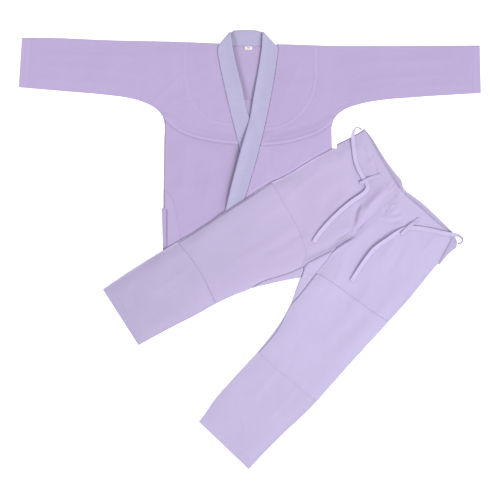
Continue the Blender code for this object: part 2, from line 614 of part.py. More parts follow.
def trousers():
    under = ["back", "collar_back", "upper_right", "upper_left", "lapel_right", "lapel_left", "jacket_front_right",
             "jacket_front_left", "jacket_vent_patch_right", "jacket_vent_patch_left"]
    w, crotch = EDGE["waist_back"], (300.7, 277.4)
    middle = 5  # row of the waist tables at the centre
    panel("trousers_back_right", TROUSER_CLOTH, under,
          w[: middle + 1] + [(300.65, 277.25)] + EDGE["inseam_right"] + back(EDGE["outseam_right"])
          + [(337.1, 143.9), (351.3, 137.0)])
    panel("trousers_back_left", TROUSER_CLOTH, under,
          moved(w[middle : middle + 1], 0.12, 0.12) + w[middle + 1 :]
          + [(455.4, 236.6), (457.2, 242.4), (456.8, 247.6), (449.0, 253.8), (440.3, 264.2)]
          + EDGE["outseam_left"] + back(EDGE["inseam_left"]) + [(300.95, 277.55)])
    backs = ["trousers_back_right", "trousers_back_left"]
    under = under + backs

    tapes = {}
    for s in ("right", "left"):
        tapes[s] = folded_tape(s, under)
    tape_folds = {
        s: {"turn": Fold(tapes[s][2], tapes[s][3], TAPE_THICK)} for s in tapes
    }
    tape_under = {
        s: Sheet(f"tape_under_{s}", TAPE_THICK, backs, tapes[s][0], tape_folds[s], TROUSER_ERROR) for s in tapes
    }

    # gusset, seen between the legs; it runs on under the right front's folded edge
    g = EDGE["gusset_right"]
    panel("trousers_gusset_right", TROUSER_CLOTH, backs,
          moved(g, 0.05, 0.22) + moved(EDGE["inseam_right"][1::-1], 0.0, 0.0) + [(300.3, 277.6), (303.1, 270.4), (303.3, 267.4)])
    panel("trousers_gusset_left", TROUSER_CLOTH, backs,
          [(336.8, 244.6)] + moved(EDGE["gusset_left"], -0.15, -0.1) + [EDGE["inseam_left"][0]]
          + [(300.9, 277.7), (303.6, 270.5), (303.8, 266.9), (305.9, 261.6), (313.4, 255.6), (329.8, 247.6)])
    tuck = beside([EDGE["waist_front"][5]] + EDGE["centre_front"][:6], -FRONT_TUCK)
    panel("trousers_front_left", TROUSER_CLOTH, backs + ["tape_under_left"],
          [(399.0, 187.6)] + EDGE["waist_front"][middle + 1 :]
          + [(450.4, 240.0), (439.2, 260.6)] + EDGE["outseam_left"] + back(EDGE["inseam_left"][1:])
          + back(EDGE["gusset_left"]) + [(337.3, 244.4)] + back(tuck[1:]))
    plain("trousers_front_right", TROUSER_CLOTH,
          backs + ["tape_under_right", "trousers_gusset_left", "trousers_front_left"],
          EDGE["waist_front"][: middle + 1] + EDGE["centre_front"] + EDGE["gusset_right"]
          + EDGE["inseam_right"][3:] + back(EDGE["outseam_right"]) + [(337.3, 145.0), (350.6, 138.4)])
    panel("trousers_knee_patch_right", KNEE_CLOTH, ["trousers_front_right"],
          EDGE["knee_top_right"] + [(301.6, 266.2), (287.0, 272.8), (276.2, 276.1), (259.8, 282.0), (251.6, 287.0),
                                    (233.0, 294.8)] + back(EDGE["knee_low_right"])
          + [(200.6, 229.2), (224.0, 214.3), (245.0, 200.9), (267.4, 185.9)])
    panel("trousers_knee_patch_left", KNEE_CLOTH, ["trousers_front_left"],
          EDGE["knee_top_left"] + [(313.9, 277.4), (298.6, 296.8), (291.9, 304.2), (283.0, 320.4)]
          + back(EDGE["knee_low_left"]) + [(330.0, 385.3), (352.0, 360.4)])
    fronts = ["trousers_front_right", "trousers_front_left", "trousers_knee_patch_right", "trousers_knee_patch_left",
              "trousers_gusset_left"]
    for s in ("right", "left"):
        over = [*backs, *fronts, f"tape_under_{s}"]
        upper = Sheet(f"tape_over_{s}", TAPE_THICK, over, tapes[s][1], tape_folds[s], TROUSER_ERROR)
        tape = Solid(f"trousers_tape_{s}").add(tape_under[s], face_up=False).add(upper)
        tape.join("turn", tape_folds[s]["turn"].outward).build()
        a, b = strip(EDGE[f"loop_{s}"], LOOP_WIDE)
        panel(f"trousers_loop_{s}", LOOP_CLOTH, [*over, f"tape_over_{s}"], a + back(b))


for old in list(bpy.data.objects):
    bpy.data.objects.remove(old)
jacket()
trousers()
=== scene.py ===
import math

import bpy
import numpy as np
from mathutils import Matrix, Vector
from mathutils.geometry import delaunay_2d_cdt


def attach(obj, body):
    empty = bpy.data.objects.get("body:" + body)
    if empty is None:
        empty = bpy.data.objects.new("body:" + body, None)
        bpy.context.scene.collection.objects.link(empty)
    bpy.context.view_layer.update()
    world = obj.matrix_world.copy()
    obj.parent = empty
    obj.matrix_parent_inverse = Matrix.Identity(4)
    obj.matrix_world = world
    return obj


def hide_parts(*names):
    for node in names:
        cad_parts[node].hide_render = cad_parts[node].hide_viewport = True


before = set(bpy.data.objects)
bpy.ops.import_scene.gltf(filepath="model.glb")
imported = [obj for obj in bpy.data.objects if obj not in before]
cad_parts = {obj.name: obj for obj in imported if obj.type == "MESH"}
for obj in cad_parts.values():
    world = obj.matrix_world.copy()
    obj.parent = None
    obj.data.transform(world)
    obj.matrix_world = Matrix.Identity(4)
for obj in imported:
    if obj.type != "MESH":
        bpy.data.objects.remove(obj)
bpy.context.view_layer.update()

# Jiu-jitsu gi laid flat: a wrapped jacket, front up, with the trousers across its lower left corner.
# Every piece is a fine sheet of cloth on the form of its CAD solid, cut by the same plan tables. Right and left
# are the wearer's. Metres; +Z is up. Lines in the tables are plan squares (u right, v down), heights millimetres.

# ---- camera: straight down, 1.6 m of floor across the picture ------------------------------------------------------
VIEW_WIDE, LENS, SENSOR = 1.600, 135.0, 36.0
camera = bpy.data.objects.new("camera", bpy.data.cameras.new("camera"))
camera.data.lens, camera.data.sensor_width = LENS, SENSOR
camera.data.sensor_fit = "HORIZONTAL"
camera.data.clip_end = 50.0
camera.location = (0.0003, -0.0010, VIEW_WIDE * LENS / SENSOR + 0.006)
bpy.context.scene.collection.objects.link(camera)
bpy.context.scene.camera = camera

# ---- sizes, as in the CAD ------------------------------------------------------------------------------------------
SQUARE = 0.0032
PLAN_CENTRE = (249.9, 249.7)
JACKET_CLOTH = 0.0016
YOKE_CLOTH = 0.0012
LABEL_CLOTH = 0.0004
VENT_PATCH_CLOTH = 0.0010
LAPEL_CORE = 0.0040
TROUSER_CLOTH = 0.0012
KNEE_CLOTH = 0.0010
LOOP_CLOTH = 0.0014
TAPE_THICK = 0.0014
TAPE_WIDE = 4.4
LOOP_WIDE = 3.7
CHEST_LAP = 3.7
FRONT_TUCK = 3.0
GAP = 0.0003
CELL = 0.002
MM = 0.001
ARC_STEPS = 8
FINE = 1.0  # how much coarser the sheets are while other things are being tried

EDGE = {
    "shoulder_right": [(22.0, 37.6), (40.0, 37.6), (112.0, 40.2), (180.0, 41.8), (219.4, 43.4)],
    "shoulder_left": [(480.0, 45.4), (377.6, 45.9), (339.3, 45.9), (289.9, 44.4), (276.9, 44.0)],
    "underarm_right": [(18.7, 87.3), (63.8, 91.2), (105.9, 94.9), (128.9, 98.0), (146.1, 103.2), (153.1, 106.8),
                       (158.5, 111.0), (162.4, 116.2)],
    "underarm_left": [(481.1, 93.1), (409.4, 97.6), (385.5, 99.6), (356.8, 104.9), (345.5, 109.1), (338.6, 113.8),
                      (334.2, 119.2)],
    "side_right": [(164.1, 122.0), (164.2, 140.0), (163.4, 191.0), (163.2, 208.0), (161.8, 208.8), (162.7, 250.6),
                   (162.9, 268.0)],
    "side_left": [(332.6, 124.0), (332.5, 191.0), (332.7, 208.0), (334.2, 208.8), (333.3, 250.6), (333.1, 268.0)],
    "front_side_right": [(165.0, 140.0), (163.9, 191.0), (163.8, 208.0), (166.5, 209.2), (166.4, 250.0),
                         (166.6, 268.0)],
    "front_side_left": [(332.0, 148.0), (332.0, 208.0), (329.6, 209.2), (329.6, 250.0), (329.4, 268.0)],
    "chest_right": [(164.9, 120.0), (172.2, 127.0), (183.3, 133.5), (199.3, 139.0), (215.2, 142.0), (238.2, 144.2)],
    "chest_left": [(331.9, 123.4), (319.4, 132.6), (301.6, 139.3), (284.0, 143.5), (260.5, 145.5)],
    "neck": [(221.5, 45.0), (232.5, 45.4), (262.0, 45.4), (274.2, 45.55)],
    "lapel_sewn_right": [(218.5, 44.7), (217.4, 50.0), (218.8, 60.2), (223.5, 83.0), (229.7, 110.0), (237.5, 140.3),
                         (267.0, 268.0)],
    "lapel_free_right": [(232.6, 47.6), (237.1, 68.8), (242.3, 88.9), (246.9, 110.0), (249.5, 118.0),
                         (255.4, 143.0), (284.0, 268.0)],
    "lapel_sewn_left": [(277.6, 45.3), (277.9, 49.8), (276.2, 63.0), (272.7, 86.0), (268.1, 110.0), (261.2, 141.0),
                        (253.6, 169.0), (244.5, 200.0), (225.3, 268.0)],
    "lapel_free_left": [(261.5, 48.7), (258.4, 68.8), (253.8, 94.6), (249.7, 117.7), (240.2, 151.7), (231.6, 184.2),
                        (224.9, 211.5), (209.9, 268.0)],
    "lapel_fold_right": [(219.9, 43.4), (224.7, 37.7), (229.6, 31.9)],
    "lapel_fold_left": [(263.6, 31.4), (269.5, 37.9), (275.4, 44.3)],
    "collar_top": [(233.7, 30.4), (240.0, 29.9), (248.0, 29.8), (256.7, 30.2)],
    "waist_back": [(364.6, 128.8), (368.9, 133.8), (385.5, 159.4), (395.0, 172.4), (402.0, 181.6), (403.0, 186.6),
                   (407.1, 191.8), (421.2, 202.0), (433.9, 213.5), (451.8, 231.4)],
    "waist_front": [(364.8, 129.9), (367.6, 134.4), (376.5, 151.0), (389.3, 172.7), (398.2, 186.7), (400.9, 189.9),
                    (405.9, 195.7), (421.2, 208.4), (435.2, 221.2), (449.2, 231.4)],
    "outseam_right": [(337.1, 149.2), (333.0, 148.4), (312.9, 159.3), (286.1, 175.6), (267.0, 184.9), (244.5, 200.0),
                      (223.5, 213.3), (200.0, 228.3), (162.6, 250.7), (127.6, 272.5), (102.8, 289.6)],
    "outseam_left": [(437.0, 264.8), (425.1, 279.4), (408.4, 300.0), (390.8, 319.5), (352.7, 361.0), (330.1, 386.5),
                     (311.2, 407.4), (279.7, 437.3), (248.6, 469.5)],
    "inseam_right": [(281.7, 281.2), (260.0, 286.1), (252.2, 288.1), (233.1, 295.7), (213.9, 304.8), (199.3, 313.2),
                     (175.7, 325.3), (159.4, 333.9), (138.4, 345.4)],
    "inseam_left": [(295.2, 292.0), (291.0, 303.8), (282.2, 320.0), (261.8, 347.3), (233.1, 378.9), (213.9, 400.9),
                    (203.4, 416.2), (198.8, 422.0)],
    "centre_front": [(391.0, 200.5), (381.0, 208.0), (374.5, 214.6), (362.0, 225.0), (352.9, 236.5), (343.4, 241.6),
                     (330.5, 250.3), (314.2, 258.4), (306.1, 263.3)],
    "gusset_right": [(302.8, 266.8), (287.1, 273.6), (276.3, 276.9), (260.0, 282.8), (252.2, 287.6)],
    "gusset_left": [(334.8, 249.8), (325.1, 262.2), (313.1, 276.9), (297.9, 296.4), (291.4, 303.3)],
    "knee_top_right": [(271.7, 183.4), (284.0, 204.0), (298.4, 230.5), (306.5, 254.0)],
    "knee_low_right": [(178.4, 243.0), (191.4, 258.4), (199.0, 269.9), (215.8, 302.9)],
    "knee_top_left": [(387.6, 321.8), (362.0, 304.0), (338.7, 287.1), (322.4, 276.2), (317.0, 273.4)],
    "knee_low_left": [(316.4, 401.4), (306.2, 393.3), (282.0, 373.2), (258.9, 352.4)],
    "loop_right": [(381.0, 174.9), (370.5, 178.4), (359.6, 183.8)],
    "loop_left": [(419.2, 218.6), (409.8, 226.0), (401.2, 234.8)],
}
YOKE = dict(left=312.0, right=187.0, neck=46.0, lower=99.5)
LABEL = dict(u=(244.9, 252.1), v=(46.3, 49.6))
VENT_PATCH_EDGE = [(164.5, 189.4), (171.0, 198.0), (174.2, 206.0), (176.1, 215.5), (178.1, 225.0), (180.0, 239.0),
                   (181.4, 268.0)]
MIRROR_U = 496.0

# Drawstring ends: (u, v, roll in degrees, height of the tape's middle over what it lies on in mm), from where the
# tape leaves the waistband to its free end. At the waist corner it stands on its edge, then it falls flat.
TAPE = {
    "right": [(361.6, 129.8, 70, 3.0), (358.8, 127.9, 76, 5.0), (356.0, 127.9, 74, 5.5), (354.1, 130.2, 64, 5.0),
              (353.2, 134.4, 44, 3.4), (353.1, 139.5, 22, 1.6), (353.6, 146.0, 10, 1.0), (354.3, 153.5, 10, 1.1),
              (355.8, 161.5, 14, 1.5), (358.9, 170.0, 18, 1.9), (363.0, 177.2, 12, 1.2), (366.6, 183.2, 6, 0.7),
              (367.8, 187.6, 14, 1.3), (366.0, 191.3, 22, 2.0), (361.4, 195.2, 24, 2.2), (353.0, 200.8, 22, 2.1),
              (345.2, 207.0, 20, 2.0), (336.0, 215.2, 20, 2.0), (327.0, 224.5, 20, 2.0), (320.4, 232.2, 16, 1.6),
              (315.6, 239.0, 10, 1.0), (313.6, 242.4, 4, 0.6)],
    "left": [(457.8, 243.4, 66, 3.0), (461.4, 242.6, 76, 5.0), (462.6, 239.4, 74, 5.6), (460.2, 236.6, 62, 5.0),
             (455.6, 235.0, 44, 3.4), (449.5, 234.2, 24, 1.8), (441.5, 232.7, 12, 1.1), (431.5, 230.4, 10, 1.0),
             (421.0, 228.7, 10, 1.0), (412.5, 227.9, 8, 0.8), (405.0, 229.0, 10, 1.0), (397.5, 232.6, 20, 2.0),
             (389.3, 238.2, 28, 2.7), (381.2, 243.6, 30, 2.8), (374.2, 249.0, 30, 2.8), (367.8, 256.6, 28, 2.6),
             (361.6, 265.4, 26, 2.4), (355.9, 274.2, 16, 1.6), (351.4, 281.4, 6, 0.8)],
}
STAND_SIDE = {"right": -1, "left": -1}  # which edge of the tape stands up: 1 the left of its run, -1 the right

# Creases and lifted edges of each sheet: (height, width on the left of the run, width on the right, line).
# A width is where the height has fallen to about a third. A trough has a negative height.
CREASE = {
    "upper_right": [
        (0.8, 7, 12, [(30, 52), (70, 55), (120, 56), (160, 57)]),
        (0.7, 12, 6, [(36, 66), (80, 69), (128, 74), (160, 84)]),
        (0.6, 8, 8, [(24, 78), (60, 80), (104, 84)]),
        (0.6, 6, 11, [(150, 104.5), (158, 96), (172, 84), (184, 70)]),
        (0.5, 9, 6, [(160, 112), (170, 104), (180, 98), (192, 95)]),
        (0.8, 10, 10, [(196, 56), (203, 74), (214, 92)]),
        (0.7, 9, 12, [(170, 54), (172, 70), (176, 88)]),
        (-0.7, 7, 7, [(186, 118), (202, 126), (222, 131)]),
    ],
    "upper_left": [
        (0.8, 12, 7, [(470, 58), (430, 60), (384, 61), (344, 62)]),
        (0.7, 6, 12, [(462, 74), (420, 77), (376, 80), (344, 88)]),
        (0.6, 8, 8, [(476, 84), (440, 86), (400, 89)]),
        (0.7, 11, 6, [(347, 107), (338, 98), (326, 86), (316, 70)]),
        (0.6, 6, 9, [(336, 115), (326, 106), (314, 100), (302, 98)]),
        (0.8, 10, 10, [(300, 58), (294, 76), (284, 94)]),
        (-0.7, 7, 7, [(310, 122), (294, 129), (276, 133)]),
    ],
    "jacket_front_right": [
        (0.9, 12, 16, [(186, 140), (184, 168), (178, 200)]),
        (0.8, 14, 9, [(214, 150), (208, 180), (200, 216)]),
        (-0.6, 9, 9, [(198, 150), (195, 180), (190, 212)]),
        (0.7, 9, 9, [(168, 160), (190, 166), (214, 168)]),
        (0.7, 7, 12, [(168, 184), (188, 187), (208, 186)]),
    ],
    "jacket_front_left": [
        (1.2, 10, 16, [(276, 150), (274, 166), (280, 184)]),
        (0.9, 14, 9, [(306, 143), (303, 156), (292, 170)]),
        (0.7, 10, 10, [(328, 136), (322, 148)]),
    ],
    "lapel_right": [(4.2, 17, 17, [(228, 6), (231, 36), (233.5, 50), (237.1, 68.8), (242.3, 88.9), (247.4, 111)])],
    "lapel_left": [
        (8.0, 17, 17, [(248.6, 120), (240.2, 151.7), (231.6, 184.2), (224.6, 213)]),
        (3.6, 15, 15, [(266, 6), (262.5, 34), (261, 50), (258.4, 68.8), (253.8, 94.6), (250.0, 114)]),
    ],
    "collar_back": [],
    "trousers_back_right": [
        (1.6, 2.6, 4, [(396.5, 175.8), (401.6, 180.6)]), (-1.0, 2.5, 3, [(398.3, 174.6), (402.4, 179.6)]),
        (2.2, 2.6, 3, [(397.8, 180.0), (403.0, 184.4)]), (1.6, 2.4, 3, [(399.4, 184.0), (403.4, 187.2)]),
        (0.9, 6, 10, [(376, 146), (386, 163), (393, 173)]),
    ],
    "trousers_back_left": [(1.4, 2.6, 4, [(404.0, 190.0), (400.8, 192.4)]),
                           (0.9, 6, 10, [(414, 199), (428, 211), (442, 224)])],
    "trousers_front_right": [
        (1.0, 6, 6, [(360, 122), (367.6, 134.4), (376.5, 151.0), (389.3, 172.7), (398.2, 186.7), (402, 192)]),
        (5.4, 10, 12, [(386, 188), (377, 197.5), (368.6, 206.5), (362.6, 217), (357.0, 231)]),
        (3.8, 12, 4.0, [(363.0, 203.5), (359.2, 212), (357.0, 221), (355.0, 231.5)]),
        (-4.0, 4, 10, [(362.0, 202.5), (357.6, 210), (355.0, 219.5), (353.4, 229)]),
        (-5.6, 7, 11, [(399.5, 186.5), (391.6, 193.4), (385.4, 200.0), (378.0, 210.0)]),
        (2.2, 2.6, 3.2, [(397.4, 182.5), (390.8, 189.6), (385.0, 196.2)]),
        (1.8, 2.6, 3.2, [(393.6, 179.6), (387.0, 187.8)]),
        (1.5, 2.4, 3.0, [(398.6, 187.6), (391.8, 194.8), (386.6, 200.6)]),
        (-2.8, 3.0, 6.5, [(370.0, 152), (374.0, 163.0), (378.4, 175.2)]),
        (2.4, 9, 4.5, [(364, 144), (369.5, 156), (374.0, 168)]),
        (1.5, 4, 5, [(376.5, 156), (371.5, 160), (367.5, 166)]),
        (3.4, 2.8, 3.0, [(353.9, 224.4), (353.9, 230.4), (351.4, 235.6)]),
        (-2.4, 3, 3, [(356.6, 225.4), (356.4, 231.0), (353.6, 236.0)]),
        (2.4, 3, 3.6, [(351.0, 232.2), (345.0, 236.8), (336, 242.0)]),
        (-2.4, 3, 5, [(352.4, 227.6), (346.6, 233.4), (337, 239.0)]),
        (5.6, 9, 9, [(358.6, 229.2), (352.9, 236.5), (343.4, 241.6), (330.5, 250.3), (314.2, 258.4), (300.0, 266.0)]),
        (1.7, 16, 9, [(350, 190), (336, 205), (322, 222)]),
        (-1.3, 10, 14, [(342, 184), (330, 198), (318, 212)]),
        (1.2, 12, 9, [(330, 165), (302, 184), (276, 206), (250, 226)]),
        (1.3, 7, 12, [(306, 216), (276, 238), (246, 258), (216, 276)]),
        (1.1, 9, 6, [(318, 230), (290, 247), (262, 262)]),
        (-0.9, 8, 8, [(312, 224), (282, 243), (252, 260)]),
        (0.9, 14, 8, [(240, 212), (214, 230), (190, 248)]),
        (0.9, 8, 12, [(196, 262), (170, 282), (142, 300)]),
        (0.9, 5, 4, [(112, 298), (118, 311), (121, 324)]), (0.8, 4, 5, [(121, 296), (126, 310), (129, 321)]),
        (0.7, 5, 4, [(133, 292), (139, 308), (141, 322)]),
        (0.8, 8, 6, [(236, 288), (252, 280), (270, 270)]),
    ],
    "trousers_front_left": [
        (1.0, 6, 6, [(403, 191), (405.9, 195.7), (421.2, 208.4), (435.2, 221.2), (449.2, 231.4), (462, 240)]),
        (3.0, 4, 4, [(357.0, 237.0), (345.0, 244.0), (332.0, 253.0), (320.0, 259.4)]),
        (2.6, 5, 6, [(381.4, 214.6), (387, 217.6), (396, 217.8), (404, 214.0)]),
        (-2.9, 6, 4, [(379.6, 217.6), (385.6, 221.6), (394.4, 222.4), (402.6, 219.2)]),
        (1.8, 3, 3, [(389.6, 207.6), (392.4, 205.0), (396, 204.4)]),
        (-1.8, 3, 3, [(386.8, 208.4), (384.6, 213.0), (386.0, 217.0)]),
        (1.6, 4, 6, [(398.5, 207.0), (394.0, 211.6), (390.6, 214.4)]),
        (1.5, 10, 12, [(372, 224), (358, 238), (344, 256)]),
        (1.2, 6, 6, [(424, 212), (418, 222), (410, 228)]),
        (1.2, 10, 10, [(398, 222), (392, 244), (378, 262)]),
        (-0.9, 8, 12, [(408, 236), (398, 258), (384, 278)]),
        (1.2, 12, 9, [(346, 250), (338, 276), (318, 306)]),
        (1.1, 13, 8, [(372, 282), (350, 314), (318, 350)]),
        (-0.9, 9, 9, [(322, 300), (304.6, 329.5), (284.7, 361)]),
        (1.1, 8, 13, [(296, 344), (276, 372), (250, 402)]),
        (0.9, 12, 9, [(392, 296), (366, 326), (334, 362)]),
        (0.8, 9, 9, [(310, 372), (286, 400), (262, 426)]),
        (0.9, 5, 4, [(222, 410), (230, 424), (236, 440)]), (0.8, 4, 5, [(236, 402), (243, 420), (246, 436)]),
        (0.9, 6, 6, [(436, 236), (428, 246), (420, 256)]),
    ],
}
# Painted shade and light: lines where the cloth is darkened as painted shadow at the lapel edges, laps, neck, waist
# and crotch fold, or paled as painted light along the trouser outseam to hide its cast shadow: (share, half width in
# mm, line)
PAINTED_SHADE_AND_LIGHT = {
    "upper_right": [(-0.07, 3.4, [(172.2, 123.3), (183.3, 129.8), (199.3, 135.3), (215.2, 138.3), (238.2, 140.5)])],
    "upper_left": [(-0.07, 3.4, [(319.4, 128.9), (301.6, 135.6), (284.0, 139.8), (260.5, 141.8)])],
    "jacket_front_right": [
        (-0.12, 3.6, EDGE["chest_right"]),
        (-0.13, 11.0, [(246, 112), (237.0, 151), (228.4, 184), (221.5, 214)]),
        (0.16, 4.5, [(243.9, 199.3), (222.9, 212.6), (199.4, 227.6), (162.0, 250.0)]),
    ],
    "jacket_front_left": [
        (-0.12, 3.6, EDGE["chest_left"]),
        (0.16, 4.5, [(334.0, 147.0), (312.2, 158.6), (285.4, 174.9), (266.4, 184.2), (236.0, 204.0)]),
    ],
    "jacket_yoke_lining": [
        (-0.26, 8.0, [(232.0, 30), (235.5, 52), (240.2, 72), (245.2, 92), (250.0, 122)]),
        (-0.12, 3.6, [(226.0, 46.2), (240.0, 46.4), (256.0, 46.4), (270.0, 46.4)]),
    ],
    "collar_back": [
        (-0.26, 7.0, [(230.6, 24), (232.6, 34), (235.0, 42), (236.4, 54)]),
        (-0.14, 6.0, [(264.0, 24), (262.6, 34), (260.6, 42), (259.6, 54)]),
    ],
    "trousers_front_right": [(0.22, 3.4, EDGE["outseam_right"])],
    "trousers_back_right": [
        (0.22, 3.4, EDGE["outseam_right"]),
        (-0.20, 3.6, [(360, 122), (368.0, 134.0), (377.0, 150.6), (389.8, 172.3), (398.7, 186.3), (404, 192)]),
    ],
    "trousers_back_left": [
        (-0.20, 3.6, [(400, 190), (406.3, 195.2), (421.6, 207.9), (435.6, 220.7), (449.6, 230.9), (458, 237)]),
        (-0.30, 3.4, [(452.6, 236.2), (450.6, 240.0), (439.6, 260.6), (437.6, 264.4)]),
    ],
    "trousers_front_left": [(-0.34, 3.4, [(354.6, 236.6), (344.4, 242.6), (331.4, 251.3), (312.0, 261.0)])],
    "trousers_gusset_left": [(-0.38, 3.4, [(334.0, 249.6), (315.0, 259.2), (306.6, 264.0), (303.8, 269.5), (300.4, 280)])],
}
EVEN_TONE = {"jacket_front_left": 0.045, "trousers_back_right": -0.09, "trousers_back_left": -0.09, "collar_back": -0.04,
             "lapel_left": -0.02, "trousers_tape": 0.03}
# Soft air under a sheet, and the long low waves of cloth that has been carried and laid down: (air, waves) in mm
AIR = {
    "upper_right": (1.3, 0.9), "upper_left": (1.3, 0.9), "jacket_front_right": (1.1, 0.9),
    "jacket_front_left": (1.1, 0.9), "trousers_front_right": (3.6, 1.1), "trousers_front_left": (3.0, 1.1),
    "trousers_gusset_right": (0.8, 0.3), "trousers_gusset_left": (0.8, 0.3), "trousers_back_right": (0.6, 0.4),
    "trousers_back_left": (0.6, 0.4), "jacket_yoke_lining": (0.6, 0.7),
}


# ---- plan geometry -------------------------------------------------------------------------------------------------
def metres(points):
    p = np.asarray(points, float).reshape(-1, 2)
    return np.stack([(p[:, 0] - PLAN_CENTRE[0]) * SQUARE, (PLAN_CENTRE[1] - p[:, 1]) * SQUARE], axis=1)


def moved(points, du=0.0, dv=0.0):
    return [(u + du, v + dv) for u, v in points]


def back(points):
    return list(reversed(points))


def mirrored(points):
    return [(MIRROR_U - u, v) for u, v in points]


def through(points, step):
    """A smooth curve through all the points, which may have more than two columns, at about this spacing."""
    p = np.asarray(points, float)
    if len(p) == 2:
        n = max(1, math.ceil(np.linalg.norm((p[1] - p[0])[:2]) / step))
        return p[0] + (p[1] - p[0]) * np.linspace(0, 1, n + 1)[:, None]
    gap = np.linalg.norm(np.diff(p[:, :2], axis=0), axis=1)
    slope = np.diff(p, axis=0) / gap[:, None]
    tangent = np.empty_like(p)
    tangent[1:-1] = (slope[:-1] * gap[1:, None] + slope[1:] * gap[:-1, None]) / (gap[:-1] + gap[1:])[:, None]
    tangent[0], tangent[-1] = 1.5 * slope[0] - 0.5 * tangent[1], 1.5 * slope[-1] - 0.5 * tangent[-2]
    out = [p[:1]]
    for i, long in enumerate(gap):
        n = max(1, math.ceil(long / step))
        t = (np.arange(1, n + 1) / n)[:, None]
        out.append((2 * t**3 - 3 * t**2 + 1) * p[i] + (t**3 - 2 * t**2 + t) * long * tangent[i]
                   + (3 * t**2 - 2 * t**3) * p[i + 1] + (t**3 - t**2) * long * tangent[i + 1])
    return np.concatenate(out)


def soft(points, step=1.25, sharp=34.0):
    """The edge as a smooth curve, with its real corners kept."""
    p = np.asarray(points, float)
    step = step * FINE
    along = np.diff(p, axis=0)
    turn = np.degrees(np.arctan2(along[:-1, 0] * along[1:, 1] - along[:-1, 1] * along[1:, 0],
                                 (along[:-1] * along[1:]).sum(axis=1)))
    corners = [0, *[i + 1 for i in range(len(turn)) if abs(turn[i]) > sharp], len(p) - 1]
    out = [p[:1]]
    for a, b in zip(corners, corners[1:]):
        out.append(through(p[a : b + 1], step)[1:])
    return [tuple(q) for q in np.concatenate(out)]


def beside(points, by):
    """The line moved sideways by this many squares, to the left of its run as the plan is looked at."""
    p = np.asarray(points, float)
    along = np.gradient(p, axis=0)
    along /= np.linalg.norm(along, axis=1)[:, None]
    return [tuple(q) for q in p + by * np.stack([along[:, 1], -along[:, 0]], axis=1)]


def above(points, v):
    return [p for p in points if p[1] < v]


def below(points, v):
    return [p for p in points if p[1] > v]


def area_of(ring):
    q = np.roll(ring, -1, axis=0)
    return 0.5 * float((ring[:, 0] * q[:, 1] - q[:, 0] * ring[:, 1]).sum())


def within(points, ring, chunk=4000):
    """Which points are inside the ring."""
    q = np.roll(ring, -1, axis=0)
    found = np.zeros(len(points), bool)
    rise = np.where(np.abs(q[:, 1] - ring[:, 1]) < 1e-12, 1e-12, q[:, 1] - ring[:, 1])
    for s in range(0, len(points), chunk):
        x, y = points[s : s + chunk, :1], points[s : s + chunk, 1:2]
        crosses = (ring[:, 1] > y) != (q[:, 1] > y)
        found[s : s + chunk] = (crosses & (x < ring[:, 0] + (y - ring[:, 1]) * (q[:, 0] - ring[:, 0]) / rise)).sum(axis=1) % 2 == 1
    return found


def to_line(points, line, chunk=6000):
    """Distance to a line, on which side (+1 left of its run in the plan), and how far along it as a share."""
    a, b = line[:-1], line[1:]
    d = b - a
    long = np.maximum((d**2).sum(axis=1), 1e-16)
    size = np.sqrt(long)
    start = np.concatenate([[0], np.cumsum(size)])
    near, side, share = (np.empty(len(points)) for _ in range(3))
    for s in range(0, len(points), chunk):
        r = points[s : s + chunk, None, :] - a[None]
        t = np.clip((r * d[None]).sum(axis=2) / long, 0, 1)
        off = r - t[:, :, None] * d[None]
        dist = (off**2).sum(axis=2)
        k = dist.argmin(axis=1)
        rows = np.arange(len(k))
        near[s : s + chunk] = np.sqrt(dist[rows, k])
        side[s : s + chunk] = np.sign(d[k, 0] * r[rows, k, 1] - d[k, 1] * r[rows, k, 0])
        share[s : s + chunk] = (start[k] + t[rows, k] * size[k]) / start[-1]
    return near, side, share


# ---- height grid ---------------------------------------------------------------------------------------------------
WEST, SOUTH = -0.80, -0.78
COLUMNS, ROWS = 800, 780
GRID = np.stack(np.meshgrid(WEST + np.arange(COLUMNS) * CELL, SOUTH + np.arange(ROWS) * CELL), axis=-1)
heights = {}


def shifted(grid, rows, columns, fill=0.0):
    out = np.full_like(grid, fill)
    r, c = grid.shape
    out[max(0, rows) : r + min(0, rows), max(0, columns) : c + min(0, columns)] = grid[
        max(0, -rows) : r + min(0, -rows), max(0, -columns) : c + min(0, -columns)]
    return out


def widest(grid, cells):
    for _ in range(cells):
        grid = np.maximum(grid, np.maximum(shifted(grid, 1, 0), shifted(grid, -1, 0)))
        grid = np.maximum(grid, np.maximum(shifted(grid, 0, 1), shifted(grid, 0, -1)))
    return grid


def blurred(grid, cells, times=2):
    for _ in range(times if cells else 0):
        for axis in (0, 1):
            wide = np.pad(grid, [(cells + 1, cells) if a == axis else (0, 0) for a in (0, 1)], mode="edge")
            total = wide.cumsum(axis=axis)
            n = 2 * cells + 1
            grid = (np.take(total, range(n, total.shape[axis]), axis) - np.take(total, range(0, total.shape[axis] - n), axis)) / n
    return grid


def spread(grid, slope):
    for _ in range(160):
        best = grid
        for i, j in ((0, 1), (1, 0), (0, -1), (-1, 0), (1, 1), (1, -1), (-1, 1), (-1, -1)):
            best = np.maximum(best, shifted(grid, i, j) - slope * CELL * math.hypot(i, j))
        if (best - grid).max() < 2e-6:
            break
        grid = best
    return grid


def support(over, slope, cells):
    """How high a sheet laid over these layers lies: they are spread at the slope, then smoothed over the cells."""
    if not over:
        return np.zeros((ROWS, COLUMNS))
    top = np.maximum.reduce([heights[name] for name in over])
    top = widest(np.where(top > 0, top + GAP, 0.0), 1 + 2 * cells)
    return blurred(spread(top, slope), cells)


